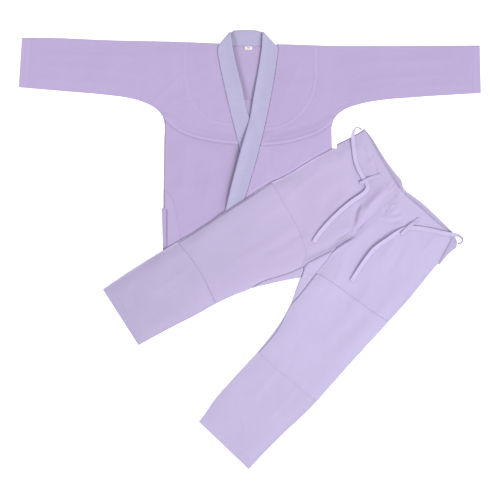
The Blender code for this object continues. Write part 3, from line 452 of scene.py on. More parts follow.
def height_at(grid, points):
    c = np.clip((points[:, 0] - WEST) / CELL, 0, COLUMNS - 1.001)
    r = np.clip((points[:, 1] - SOUTH) / CELL, 0, ROWS - 1.001)
    i, j = r.astype(int), c.astype(int)
    fr, fc = r - i, c - j
    return (grid[i, j] * (1 - fr) * (1 - fc) + grid[i + 1, j] * fr * (1 - fc)
            + grid[i, j + 1] * (1 - fr) * fc + grid[i + 1, j + 1] * fr * fc)


def depth_in(mask, most):
    """How far inside the mask each cell is, up to a limit."""
    out = np.where(mask, most, 0.0)
    for _ in range(int(most / CELL) + 1):
        for i, j in ((0, 1), (1, 0), (0, -1), (-1, 0), (1, 1), (1, -1), (-1, 1), (-1, -1)):
            out = np.minimum(out, shifted(out, i, j) + CELL * math.hypot(i, j))
    return out


# ---- the form of a sheet -------------------------------------------------------------------------------------------
WAVES = [  # size across, direction in degrees, share, start
    (0.230, 24, 1.0, 0.3), (0.147, 71, 0.7, 1.9), (0.118, -38, 0.6, 4.1), (0.083, 8, 0.42, 2.7), (0.061, 104, 0.32, 5.2),
    (0.047, 49, 0.22, 0.9),
]


def waves(points, turn):
    total = np.zeros(len(points))
    for size, angle, share, start in WAVES:
        a = math.radians(angle + turn)
        run = points @ np.array([math.cos(a), math.sin(a)])
        across = points @ np.array([-math.sin(a), math.cos(a)])
        total += share * np.sin(2 * math.pi * run / size + start + turn + 1.3 * np.sin(across / (0.9 * size) + start))
    return total / 2.2


def creases(name, points):
    total = np.zeros(len(points))
    for high, left, right, line in CREASE.get(name, ()):
        line = metres(through(line, 2.0))
        most = 2.6 * max(left, right) * MM
        low, top = line.min(axis=0) - most, line.max(axis=0) + most
        near = np.flatnonzero(((points > low) & (points < top)).all(axis=1))
        if not len(near):
            continue
        d, side, share = to_line(points[near], line)
        width = np.where(side > 0, left, right) * MM
        ends = np.clip(np.minimum(share, 1 - share) / 0.28, 0, 1)
        total[near] += high * MM * np.exp(-((d / width) ** 2)) * (ends * ends * (3 - 2 * ends)) ** 0.7
    return total


def seam_relief(seams, points, room):
    """Height that seams add on the cloth's upper side. A groove is where a row of stitches pulls the cloth down, a
    band is where cloth is folded double or laid on."""
    total = np.zeros(len(points))
    for kind, line, size, wide in seams:
        most = (wide + 2.5) * MM
        low, top = line.min(axis=0) - most, line.max(axis=0) + most
        near = np.flatnonzero(((points > low) & (points < top)).all(axis=1))
        if not len(near):
            continue
        d, side, share = to_line(points[near], line)
        if kind == "groove":
            total[near] -= size * MM * np.exp(-((d / (wide * MM)) ** 2))
        else:
            edge = np.clip((wide * MM - d) / (1.6 * MM) + 0.5, 0, 1)
            total[near] += size * MM * edge * edge * (3 - 2 * edge)
    return np.maximum(total, -room)


def tone_and_painted_light_of(name, seams, points):
    """How much paler the cloth is than its colour, as a share: each sheet's even shift, paler bands where cloth is
    laid on, and painted shade and light.
    """
    total = np.full(len(points), EVEN_TONE.get(name, 0.0))
    for kind, line, size, wide in seams:
        if kind == "band":
            d = to_line(points, line)[0]
            edge = np.clip((wide * MM - d) / (2.0 * MM) + 0.5, 0, 1)
            total += 0.07 * size * edge * edge * (3 - 2 * edge)
    # painted shadows and painted light: darker or paler colour along the listed lines
    for share, wide, line in PAINTED_SHADE_AND_LIGHT.get(name, ()):
        d, _, along = to_line(points, metres(through(line, 2.0)))
        total += share * np.exp(-((d / (wide * MM)) ** 2)) * np.clip(np.minimum(along, 1 - along) / 0.1, 0, 1)
    # painted shade: the trousers darken towards the left of the plan, standing in for light that falls from the right
    u = points[:, 0] / SQUARE + PLAN_CENTRE[0]
    v = PLAN_CENTRE[1] - points[:, 1] / SQUARE
    if name.startswith("trousers") and name.endswith("right"):
        total -= 0.035 + 0.125 * np.clip((330 - u) / 220, 0, 1)
    elif name.startswith("trousers"):
        total -= 0.075 * np.clip((v - 340) / 130, 0, 1)
    return total


class Places:
    """Points picked so that none is too near one picked before."""

    def __init__(self, ring):
        self.cell = 0.0008
        self.low = ring.min(axis=0) - 0.01
        size = ((ring.max(axis=0) + 0.01 - self.low) / self.cell).astype(int) + 2
        self.taken = np.zeros(size, bool)
        self.points = []

    def add(self, points, clear, keep=True):
        if not len(points):
            return
        at = ((points - self.low) / self.cell).astype(int)
        inside = ((at >= 0) & (at < self.taken.shape)).all(axis=1)
        points, at = points[inside], at[inside]
        if not keep:
            free = ~self.taken[at[:, 0], at[:, 1]]
            points, at = points[free], at[free]
            _, first = np.unique(at[:, 0] * 100003 + at[:, 1], return_index=True)
            points, at = points[first], at[first]
        r = max(1, int(round(clear / self.cell)))
        for i in range(-r, r + 1):
            for j in range(-r, r + 1):
                if i * i + j * j <= r * r + 0.5:
                    x = np.clip(at[:, 0] + i, 0, self.taken.shape[0] - 1)
                    y = np.clip(at[:, 1] + j, 0, self.taken.shape[1] - 1)
                    self.taken[x, y] = True
        self.points.append(points)


def facets(ring, inner):
    points = np.concatenate([ring, inner]) if len(inner) else ring
    order = list(range(len(ring)))
    verts, _, faces, origin, _, _ = delaunay_2d_cdt(
        [Vector(p) for p in points.tolist()], [], [order if area_of(ring) > 0 else order[::-1]], 1, 1e-7, True)
    own = np.array([min(o) if o else -1 for o in origin])
    faces = own[np.array(faces, int)]
    faces = faces[(faces >= 0).all(axis=1)]
    faces = faces[(faces[:, 0] != faces[:, 1]) & (faces[:, 1] != faces[:, 2]) & (faces[:, 0] != faces[:, 2])]
    rim = (faces < len(ring)).all(axis=1)
    middle = points[faces[rim]].mean(axis=1)
    keep = np.ones(len(faces), bool)
    keep[np.flatnonzero(rim)] = within(middle, ring)
    return faces[keep]


class Sheet:
    """One layer of cloth in plan. sides is its outline as (kind, points): "cut", or the name of a fold."""

    def __init__(self, name, thick, over, sides, folds=(), seams=(), pitch=4.4, slope=0.22, cells=1, flat=False,
                 radius=None):
        self.name, self.thick, self.folds = name, thick, {}
        self.seams = [(kind, metres(line), size, wide) for kind, line, size, wide in seams]
        ring, marks = [], []
        for kind, points in sides:
            points = metres(soft(points)) if kind == "cut" else folds[kind].run(metres(points[:1])[0])
            marks.append((kind, len(ring), len(points)))
            ring += [tuple(p) for p in points]
        kept, index = [], []
        for p in ring:
            if kept and math.dist(p, kept[-1]) < 2e-4:
                index.append(len(kept) - 1)
                continue
            kept.append(p)
            index.append(len(kept) - 1)
        if math.dist(kept[0], kept[-1]) < 2e-4:
            kept.pop()
            index = [0 if i == len(kept) else i for i in index]
        for kind, start, n in marks:
            if kind != "cut":
                self.folds[kind] = [index[start + i] for i in range(n)]
        self.ring = ring = np.array(kept)
        on_fold = np.zeros(len(ring), bool)
        for run in self.folds.values():
            on_fold[run] = True

        # form, on the grid
        low, top = ring.min(axis=0) - 0.02, ring.max(axis=0) + 0.02
        i0, i1 = (int(np.clip((v - SOUTH) / CELL, 0, ROWS)) for v in (low[1], top[1]))
        j0, j1 = (int(np.clip((v - WEST) / CELL, 0, COLUMNS)) for v in (low[0], top[0]))
        window = GRID[i0:i1, j0:j1].reshape(-1, 2)
        shape = (i1 - i0, j1 - j0)
        mask = within(window, ring).reshape(shape)
        base = support(over, slope, cells)
        if not flat:
            air, wave = AIR.get(name, (0.0, 0.0))
            deep = depth_in(mask, 0.045)
            ease = np.clip(deep / 0.045, 0, 1)
            ease = ease * ease * (3 - 2 * ease)
            if cells > 2:  # the cloth bridges what is under it, but its edges lie down on it
                close = support(over, 0.30, 1)[i0:i1, j0:j1]
                settle = np.clip(deep / 0.030, 0, 1)
                base[i0:i1, j0:j1] = close + (base[i0:i1, j0:j1] - close) * settle * settle * (3 - 2 * settle)
        self.under = np.array(base)
        if not flat:
            lift = (ease * (air + wave * waves(window, len(name) * 7.0).reshape(shape)) * MM
                    + creases(name, window).reshape(shape))
            soft_floor = 0.25 * MM
            lift = np.where(lift > soft_floor, lift, soft_floor * np.exp(np.minimum(lift / soft_floor - 1, 0)))
            lift = np.where(base[i0:i1, j0:j1] + lift > 0, lift, 0)
            self.under[i0:i1, j0:j1] += lift
        self.flat = flat
        full = np.zeros((ROWS, COLUMNS))
        upper = self.under[i0:i1, j0:j1] + thick + self.relief(window).reshape(shape)
        full[i0:i1, j0:j1] = np.where(mask, upper, 0.0)
        heights[name] = np.maximum(full, np.where(full > 0, full, widest(full, 1)))

        # places
        places = Places(ring)
        places.add(ring, 0.0011)
        cut = ring[~on_fold]
        along = np.roll(ring, -1, axis=0) - np.roll(ring, 1, axis=0)
        normal = np.stack([-along[:, 1], along[:, 0]], axis=1) / np.linalg.norm(along, axis=1)[:, None]
        normal *= 1 if area_of(ring) > 0 else -1
        radius = self.radius = radius or max(0.0009, 0.5 * thick)
        closed = np.concatenate([ring, ring[:1]])
        for depth in (0.35 * radius, 0.8 * radius, 1.3 * radius, 1.3 * radius + 0.0022):
            row = ring + normal * depth
            row = row[within(row, ring)]
            d = to_line(row, closed)[0]
            places.add(row[d > 0.9 * depth], 0.0011 if depth > 0.9 * radius else 0.0004, keep=False)
        for kind, line, size, wide in self.seams:
            length = np.linalg.norm(np.diff(line, axis=0), axis=1).sum()
            n = max(2, int(length / (0.0036 * FINE)))
            step = np.concatenate([[0], np.cumsum(np.linalg.norm(np.diff(line, axis=0), axis=1))])
            at = np.stack([np.interp(np.linspace(0, length, n), step, line[:, k]) for k in (0, 1)], axis=1)
            run = np.gradient(at, axis=0)
            run /= np.linalg.norm(run, axis=1)[:, None]
            square = np.stack([-run[:, 1], run[:, 0]], axis=1)
            offsets = (-1.9, -0.95, 0, 0.95, 1.9) if kind == "groove" else (
                -wide - 1.3, -wide - 0.3, -wide + 0.8, 0, wide - 0.8, wide + 0.3, wide + 1.3)
            rows = np.concatenate([at + square * o * MM for o in offsets])
            rows = rows[within(rows, ring)]
            if len(rows):
                d = to_line(rows, closed)[0]
                places.add(rows[d > 0.0012], 0.0009, keep=False)
        step = pitch * MM * FINE
        xs = np.arange(ring[:, 0].min(), ring[:, 0].max(), step)
        ys = np.arange(ring[:, 1].min(), ring[:, 1].max(), step * 0.866)
        gx, gy = np.meshgrid(xs, ys)
        gx = gx + (np.arange(len(ys)) % 2)[:, None] * step / 2
        inner = np.stack([gx.ravel(), gy.ravel()], axis=1)
        inner = inner[within(inner, ring)]
        room = Places(ring)
        for part in places.points:
            room.add(part, 0.42 * step)
        room.points = []
        room.add(inner, 0.0008, keep=False)
        inner = np.concatenate(places.points[1:] + room.points)
        self.points = np.concatenate([ring, inner])
        self.faces = facets(ring, inner)
        a, b, c = (self.points[self.faces[:, k]] for k in range(3))
        turn = (b[:, 0] - a[:, 0]) * (c[:, 1] - a[:, 1]) - (b[:, 1] - a[:, 1]) * (c[:, 0] - a[:, 0])
        self.faces[turn < 0] = self.faces[turn < 0][:, ::-1]

        # heights of both sides, with the cut edge rounded
        low = height_at(self.under, self.points)
        round_off = np.ones(len(self.points))
        if len(cut) > 1:
            for run in self.cut_runs(on_fold):
                d = to_line(self.points, run)[0]
                s = np.clip(d / radius, 0, 1)
                round_off = np.minimum(round_off, np.sqrt(np.maximum(0, 1 - (1 - s) ** 2)))
        round_off[: len(ring)][on_fold] = 1.0
        self.low = low + thick * 0.36 * (1 - round_off)
        self.high = low + thick * (1 - 0.36 * (1 - round_off)) + self.relief(self.points) * round_off
        self.area = abs(area_of(ring))
        # each point's colour shift: the sheet's own tone with painted shade and painted light
        self.tone = tone_and_painted_light_of(name, self.seams, self.points)

    def cut_runs(self, on_fold):
        n = len(self.ring)
        if not on_fold.any():
            return [np.concatenate([self.ring, self.ring[:1]])]
        # an edge is cut unless both its ends are on the same fold
        fold_edges = {frozenset(pair) for run in self.folds.values() for pair in zip(run, run[1:])}
        runs, now = [], []
        start = next(i for i in range(n) if frozenset((i, (i + 1) % n)) in fold_edges)
        for k in range(n):
            i, j = (start + k) % n, (start + k + 1) % n
            if frozenset((i, j)) in fold_edges:
                if len(now) > 1:
                    runs.append(self.ring[now])
                now = []
            else:
                now = now or [i]
                now.append(j)
        if len(now) > 1:
            runs.append(self.ring[now])
        return runs

    def relief(self, points):
        return seam_relief(self.seams, points, 0.55 * self.thick)

    def top_at(self, points):
        return height_at(self.under, points) + self.thick + self.relief(points)


class Fold:
    """A fold's sections, at the place where each layer starts to turn; the cloth rounds it by an ellipse."""

    def __init__(self, points, inside, reach):
        p = metres(soft(points, 1.25))
        along = np.gradient(p, axis=0)
        along /= np.linalg.norm(along, axis=1)[:, None]
        normal = np.stack([along[:, 1], -along[:, 0]], axis=1)
        if ((p[len(p) // 2] - metres([inside])[0]) @ normal[len(p) // 2]) < 0:
            normal = -normal
        self.outward, self.reach = normal, reach
        self.places = p - normal * reach

    def run(self, first):
        if math.dist(first, self.places[0]) > math.dist(first, self.places[-1]):
            return self.places[::-1]
        return self.places


class Piece:
    """Sheets joined at their folds, closed all round."""

    def __init__(self, name):
        self.name, self.outer, self.inner, self.faces, self.runs, self.sheets = name, [], [], [], {}, []
        self.count = 0

    def add(self, sheet, face_up=True):
        high = np.column_stack([sheet.points, sheet.high])
        low = np.column_stack([sheet.points, sheet.low])
        self.outer.append(high if face_up else low)
        self.inner.append(low if face_up else high)
        self.faces.append((sheet.faces if face_up else sheet.faces[:, ::-1]) + self.count)
        for kind, run in sheet.folds.items():
            self.runs.setdefault(kind, {})["up" if face_up else "down"] = [self.count + i for i in run]
        self.count += len(sheet.points)
        self.sheets.append(sheet)
        return self

    def join(self, kind, fold):
        outer, inner = np.concatenate(self.outer), np.concatenate(self.inner)
        faces = np.concatenate(self.faces)
        upper, lower = self.runs[kind]["up"], self.runs[kind]["down"]
        if math.dist(outer[upper[0]][:2], outer[lower[0]][:2]) > 1e-5:
            lower = lower[::-1]
        outward = fold.outward
        if math.dist(outer[upper[0]][:2], fold.places[0]) > math.dist(outer[upper[0]][:2], fold.places[-1]):
            outward = outward[::-1]
        rows, new_outer, new_inner = [upper], [], []
        thick = self.sheets[-1].thick
        for step in range(1, ARC_STEPS):
            angle = math.pi / 2 - math.pi * step / ARC_STEPS
            row = []
            for a, b, n in zip(upper, lower, outward):
                for side, reach, into in ((outer, fold.reach, new_outer), (inner, max(fold.reach - thick, 0.2 * MM), new_inner)):
                    top, low = side[a], side[b]
                    middle, radius = (top[2] + low[2]) / 2, (top[2] - low[2]) / 2
                    into.append((top[0] + n[0] * reach * math.cos(angle), top[1] + n[1] * reach * math.cos(angle),
                                 middle + radius * math.sin(angle)))
                row.append(self.count)
                self.count += 1
            rows.append(row)
        rows.append(lower)
        edges = set(map(tuple, np.concatenate([faces[:, [0, 1]], faces[:, [1, 2]], faces[:, [2, 0]]]).tolist()))
        forward = (upper[0], upper[1]) in edges
        made = []
        for over, under in zip(rows, rows[1:]):
            for i in range(len(upper) - 1):
                a, b = (i, i + 1) if forward else (i + 1, i)
                made += [(over[b], over[a], under[a]), (over[b], under[a], under[b])]
        self.outer.append(np.array(new_outer))
        self.inner.append(np.array(new_inner))
        self.faces.append(np.array(made))
        return self

    def build(self, material, held="laid", rests_on=(), slot=None, replaces=None, flat=None):
        outer, inner, faces = (np.concatenate(x) for x in (self.outer, self.inner, self.faces))
        n = len(outer)
        edges = np.concatenate([faces[:, [0, 1]], faces[:, [1, 2]], faces[:, [2, 0]]])
        key = edges[:, 0].astype(np.int64) * (n + 1) + edges[:, 1]
        other = edges[:, 1].astype(np.int64) * (n + 1) + edges[:, 0]
        rim = edges[~np.isin(key, other)]
        a, b = rim[:, 0], rim[:, 1]
        walls = np.concatenate([np.stack([b, a, n + a], axis=1), np.stack([b, n + a, n + b], axis=1)])
        obj = mesh_object(self.name, np.concatenate([outer, inner]),
                          np.concatenate([faces, faces[:, ::-1] + n, walls]), material)
        # colour shift of every point, painted shade and painted light included, for both sides
        tone = np.zeros(n)
        start = 0
        for sheet in self.sheets:
            tone[start : start + len(sheet.points)] = sheet.tone
            start += len(sheet.points)
        set_tone_and_painted_light(obj, np.concatenate([tone, tone]))
        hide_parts(replaces or self.name)
        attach(obj, "root")
        return obj


def mesh_object(name, points, faces, material):
    mesh = bpy.data.meshes.new(name + "_cloth")
    mesh.vertices.add(len(points))
    mesh.vertices.foreach_set("co", np.asarray(points, np.float32).ravel())
    mesh.loops.add(len(faces) * 3)
    mesh.loops.foreach_set("vertex_index", np.asarray(faces, np.int32).ravel())
    mesh.polygons.add(len(faces))
    mesh.polygons.foreach_set("loop_start", np.arange(0, len(faces) * 3, 3, dtype=np.int32))
    mesh.update(calc_edges=True)
    mesh.validate()
    mesh.polygons.foreach_set("use_smooth", np.ones(len(mesh.polygons), bool))
    mesh.materials.append(material)
    obj = bpy.data.objects.new(name + "_cloth", mesh)
    bpy.context.scene.collection.objects.link(obj)
    return obj


# stores each point's colour shift, which holds painted shade and painted light besides the cloth's own tone
def set_tone_and_painted_light(obj, tone):
    obj.data.attributes.new("tone", "FLOAT", "POINT").data.foreach_set("value", np.asarray(tone, np.float32))


# ---- stitches ------------------------------------------------------------------------------------------------------
STITCH_PITCH, STITCH_LONG, STITCH_WIDE, STITCH_HIGH = 0.0042, 0.0030, 0.0009, 0.00045
stitches = {"jacket": [], "trousers": []}


def stitch(garment, sheet, line):
    """A row of stitches on a sheet, along a line in plan squares."""
    p = metres(line)
    step = np.concatenate([[0], np.cumsum(np.linalg.norm(np.diff(p, axis=0), axis=1))])
    n = int(step[-1] / STITCH_PITCH)
    if n < 2:
        return
    at = (np.arange(n) + 0.5) * step[-1] / n
    middle = np.stack([np.interp(at, step, p[:, k]) for k in (0, 1)], axis=1)
    ahead = np.stack([np.interp(at + 0.0004, step, p[:, k]) for k in (0, 1)], axis=1)
    behind = np.stack([np.interp(at - 0.0004, step, p[:, k]) for k in (0, 1)], axis=1)
    run = ahead - behind
    run /= np.maximum(np.linalg.norm(run, axis=1), 1e-9)[:, None]
    keep = within(middle, sheet.ring)
    middle, run = middle[keep], run[keep]
    across = np.stack([-run[:, 1], run[:, 0]], axis=1)
    z = sheet.top_at(middle)
    half = STITCH_LONG / 2
    for m, r, a, h in zip(middle, run, across, z):
        ends = [m - r * half, m + r * half]
        h0, h1 = sheet.top_at(np.array([ends[0]]))[0], sheet.top_at(np.array([ends[1]]))[0]
        stitches[garment].append([
            (*ends[0], h0 - 0.0001), (*(m - a * STITCH_WIDE / 2), h), (*(m + a * STITCH_WIDE / 2), h),
            (*m, h + STITCH_HIGH), (*m, h - 0.0004), (*ends[1], h1 - 0.0001)])


STITCH_FACES = np.array([(0, 1, 3), (0, 3, 2), (0, 2, 4), (0, 4, 1), (5, 3, 1), (5, 2, 3), (5, 4, 2), (5, 1, 4)])


def build_stitches(garment, material):
    points = np.array(stitches[garment]).reshape(-1, 3)
    faces = (STITCH_FACES[None] + 6 * np.arange(len(points) // 6)[:, None, None]).reshape(-1, 3)
    obj = mesh_object(f"{garment}_stitches", points, faces, material)
    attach(obj, "root")
    return obj


# ---- materials -----------------------------------------------------------------------------------------------------
LIGHT = 1.5  # how much light falls on the floor, against what renders as white


def srgb(r, g, b, share=1.0 / LIGHT):
    return tuple(((x / 255 + 0.055) / 1.055) ** 2.4 * share for x in (r, g, b))


class Nodes:
    def __init__(self, name):
        self.material = bpy.data.materials.new(name)
        self.material.use_nodes = True
        self.tree = self.material.node_tree
        self.shader = self.tree.nodes["Principled BSDF"]

    def add(self, kind, **values):
        node = self.tree.nodes.new("ShaderNode" + kind)
        for key, value in values.items():
            if key in node.inputs:
                socket = node.inputs[key]
                if isinstance(value, bpy.types.NodeSocket):
                    self.tree.links.new(value, socket)
                else:
                    socket.default_value = value
            else:
                setattr(node, key, value)
        return node

    def math(self, operation, a, b=None, clamp=False):
        node = self.tree.nodes.new("ShaderNodeMath")
        node.operation, node.use_clamp = operation, clamp
        for socket, value in zip(node.inputs, (a, b)):
            if isinstance(value, bpy.types.NodeSocket):
                self.tree.links.new(value, socket)
            elif value is not None:
                socket.default_value = value
        return node.outputs[0]

    def mix(self, factor, a, b, blend="MIX"):
        node = self.tree.nodes.new("ShaderNodeMix")
        node.data_type, node.blend_type = "RGBA", blend
        for socket, value in ((node.inputs[0], factor), (node.inputs[6], a), (node.inputs[7], b)):
            if isinstance(value, bpy.types.NodeSocket):
                self.tree.links.new(value, socket)
            else:
                socket.default_value = value if isinstance(value, float) else (*value, 1.0)
        return node.outputs[2]


def cloth(name, colour, kind, roughness=0.9, sheen=0.12, turn=0.0, depth=0.6):
    """Woven cloth: its weave as bump and as a slight change of tone, loose fibres, and the uneven tone of dyed cotton.
    Its colour is also multiplied by the tone attribute, which carries painted shade and light.
    Sizes are in object space, which is metres."""
    n = Nodes(name)
    place = n.add("TexCoord").outputs["Object"]
    turned = n.add("Mapping", Vector=place, Rotation=(0.0, 0.0, math.radians(turn))).outputs[0]
    x, y, _ = n.add("SeparateXYZ", Vector=turned).outputs
    wobble = n.add("TexNoise", Vector=place, Scale=60.0, Detail=2.0).outputs["Fac"]
    drift = n.math("MULTIPLY", n.math("SUBTRACT", wobble, 0.5), 0.0016)
    x, y = n.math("ADD", x, drift), n.math("ADD", y, drift)

    def wave(of, size, start=0.0):
        return n.math("SINE", n.math("ADD", n.math("MULTIPLY", of, 2 * math.pi / size), start))

    if kind == "pearl":
        row = wave(y, 0.0046)
        grain = n.math("MULTIPLY", wave(n.math("ADD", x, n.math("MULTIPLY", wave(y, 0.0092), 0.00085)), 0.0034), wave(y, 0.0046))
        weave = n.math("ADD", n.math("MULTIPLY", grain, 0.34), n.math("ADD", n.math("MULTIPLY", row, 0.16), 0.5))
    elif kind == "rib":
        row = wave(y, 0.0052)
        grain = wave(x, 0.0024)
        weave = n.math("ADD", n.math("MULTIPLY", row, 0.36), n.math("ADD", n.math("MULTIPLY", grain, 0.10), 0.5))
    elif kind == "twill":
        slant = n.math("ADD", x, n.math("MULTIPLY", y, 1.0))
        row = wave(slant, 0.0026)
        grain = wave(y, 0.0017)
        weave = n.math("ADD", n.math("MULTIPLY", row, 0.30), n.math("ADD", n.math("MULTIPLY", grain, 0.14), 0.5))
    elif kind == "tape":
        vee = n.math("ABSOLUTE", n.math("SUBTRACT", n.math("FRACT", n.math("DIVIDE", x, 0.006)), 0.5))
        weave = n.math("ADD", n.math("MULTIPLY", wave(n.math("ADD", y, n.math("MULTIPLY", vee, 0.006)), 0.0024), 0.36), 0.5)
    else:
        weave = n.math("ADD", n.math("MULTIPLY", n.math("MULTIPLY", wave(x, 0.0007), wave(y, 0.0007)), 0.35), 0.5)
    fibre = n.add("TexNoise", Vector=place, Scale=1400.0, Detail=3.0, Roughness=0.6).outputs["Fac"]
    cloud = n.add("TexNoise", Vector=place, Scale=7.0, Detail=4.0, Roughness=0.55).outputs["Fac"]
    slub = n.add("TexNoise", Vector=n.add("Mapping", Vector=turned, Scale=(26.0, 260.0, 1.0)).outputs[0], Scale=1.0,
                 Detail=3.0).outputs["Fac"]
    tone = n.math("ADD", n.math("MULTIPLY", n.math("SUBTRACT", weave, 0.5), 0.16),
                  n.math("ADD", n.math("MULTIPLY", n.math("SUBTRACT", cloud, 0.5), 0.13),
                         n.math("ADD", n.math("MULTIPLY", n.math("SUBTRACT", slub, 0.5), 0.10),
                                n.math("MULTIPLY", n.math("SUBTRACT", fibre, 0.5), 0.06))))
    fac = n.math("ADD", tone, 0.5, clamp=True)
    dark = tuple(c * 0.72 for c in colour)
    pale = tuple(min(1.0, c * 1.28) for c in colour)
    # the tone attribute darkens or pales the colour: the sheet's own tone with painted shade and painted light
    tone_with_painted_light = n.math("ADD", n.add("Attribute", attribute_name="tone").outputs["Fac"], 1.0)
    shade = n.add("CombineColor", Red=tone_with_painted_light, Green=tone_with_painted_light, Blue=tone_with_painted_light).outputs[0]
    n.tree.links.new(n.mix(1.0, n.mix(fac, dark, pale), shade, "MULTIPLY"), n.shader.inputs["Base Color"])
    rough = n.math("ADD", n.math("MULTIPLY", n.math("SUBTRACT", fibre, 0.5), 0.14), roughness, clamp=True)
    n.tree.links.new(rough, n.shader.inputs["Roughness"])
    n.shader.inputs["Sheen Weight"].default_value = sheen
    n.shader.inputs["Sheen Roughness"].default_value = 0.5
    n.shader.inputs["Specular IOR Level"].default_value = 0.25
    height = n.math("ADD", weave, n.math("MULTIPLY", fibre, 0.22))
    bump = n.add("Bump", Strength=depth, Distance=0.0007, Height=height)
    n.tree.links.new(bump.outputs[0], n.shader.inputs["Normal"])
    return n.material


PEARL = cloth("pearl_weave", srgb(193, 176, 218), "pearl", 0.92, 0.12)
PEARL_BACK = cloth("pearl_weave_patch", srgb(195, 179, 220), "pearl", 0.92, 0.12, turn=90)
RIB = cloth("lapel_rib", srgb(191, 186, 220), "rib", 0.88, 0.10)
YOKE_TWILL = cloth("yoke_twill", srgb(192, 176, 217), "twill", 0.90, 0.10, turn=45, depth=0.3)
TWILL = cloth("trouser_twill", srgb(206, 193, 231), "twill", 0.90, 0.12, turn=34, depth=0.4)
TWILL_LEFT = cloth("trouser_twill_left", srgb(207, 195, 233), "twill", 0.90, 0.12, turn=52, depth=0.4)
TAPE_WEAVE = cloth("tape_weave", srgb(208, 197, 233), "tape", 0.85, 0.12, depth=0.5)
THREAD = cloth("thread", srgb(202, 188, 226), "plain", 0.62, 0.0, depth=0.3)
WHITE = cloth("label_white", srgb(250, 250, 252), "plain", 0.6, 0.0, depth=0.3)
RED = cloth("label_bar_thread", srgb(226, 96, 116), "plain", 0.6, 0.0, depth=0.3)


# ---- jacket --------------------------------------------------------------------------------------------------------
def groove(line, size=0.4, wide=1.0):
    return ("groove", line, size, wide)


def band(line, size, wide):
    return ("band", line, size, wide)


REINFORCED = {  # middle of the stitched band round the shoulder reinforcement
    "right": [(184.5, 42.5), (184.6, 60.0), (184.9, 76.0), (188.6, 95.0), (197.8, 110.5), (209.0, 119.5), (221, 122.8), (231.5, 124.4)],
    "left": [(315.0, 46.5), (315.0, 60.0), (314.4, 84.6), (307.6, 103.5), (298.0, 114.7), (287.6, 123.1), (276, 127.4), (265.5, 128.6)],
}
BAND_HALF = 1.9  # squares


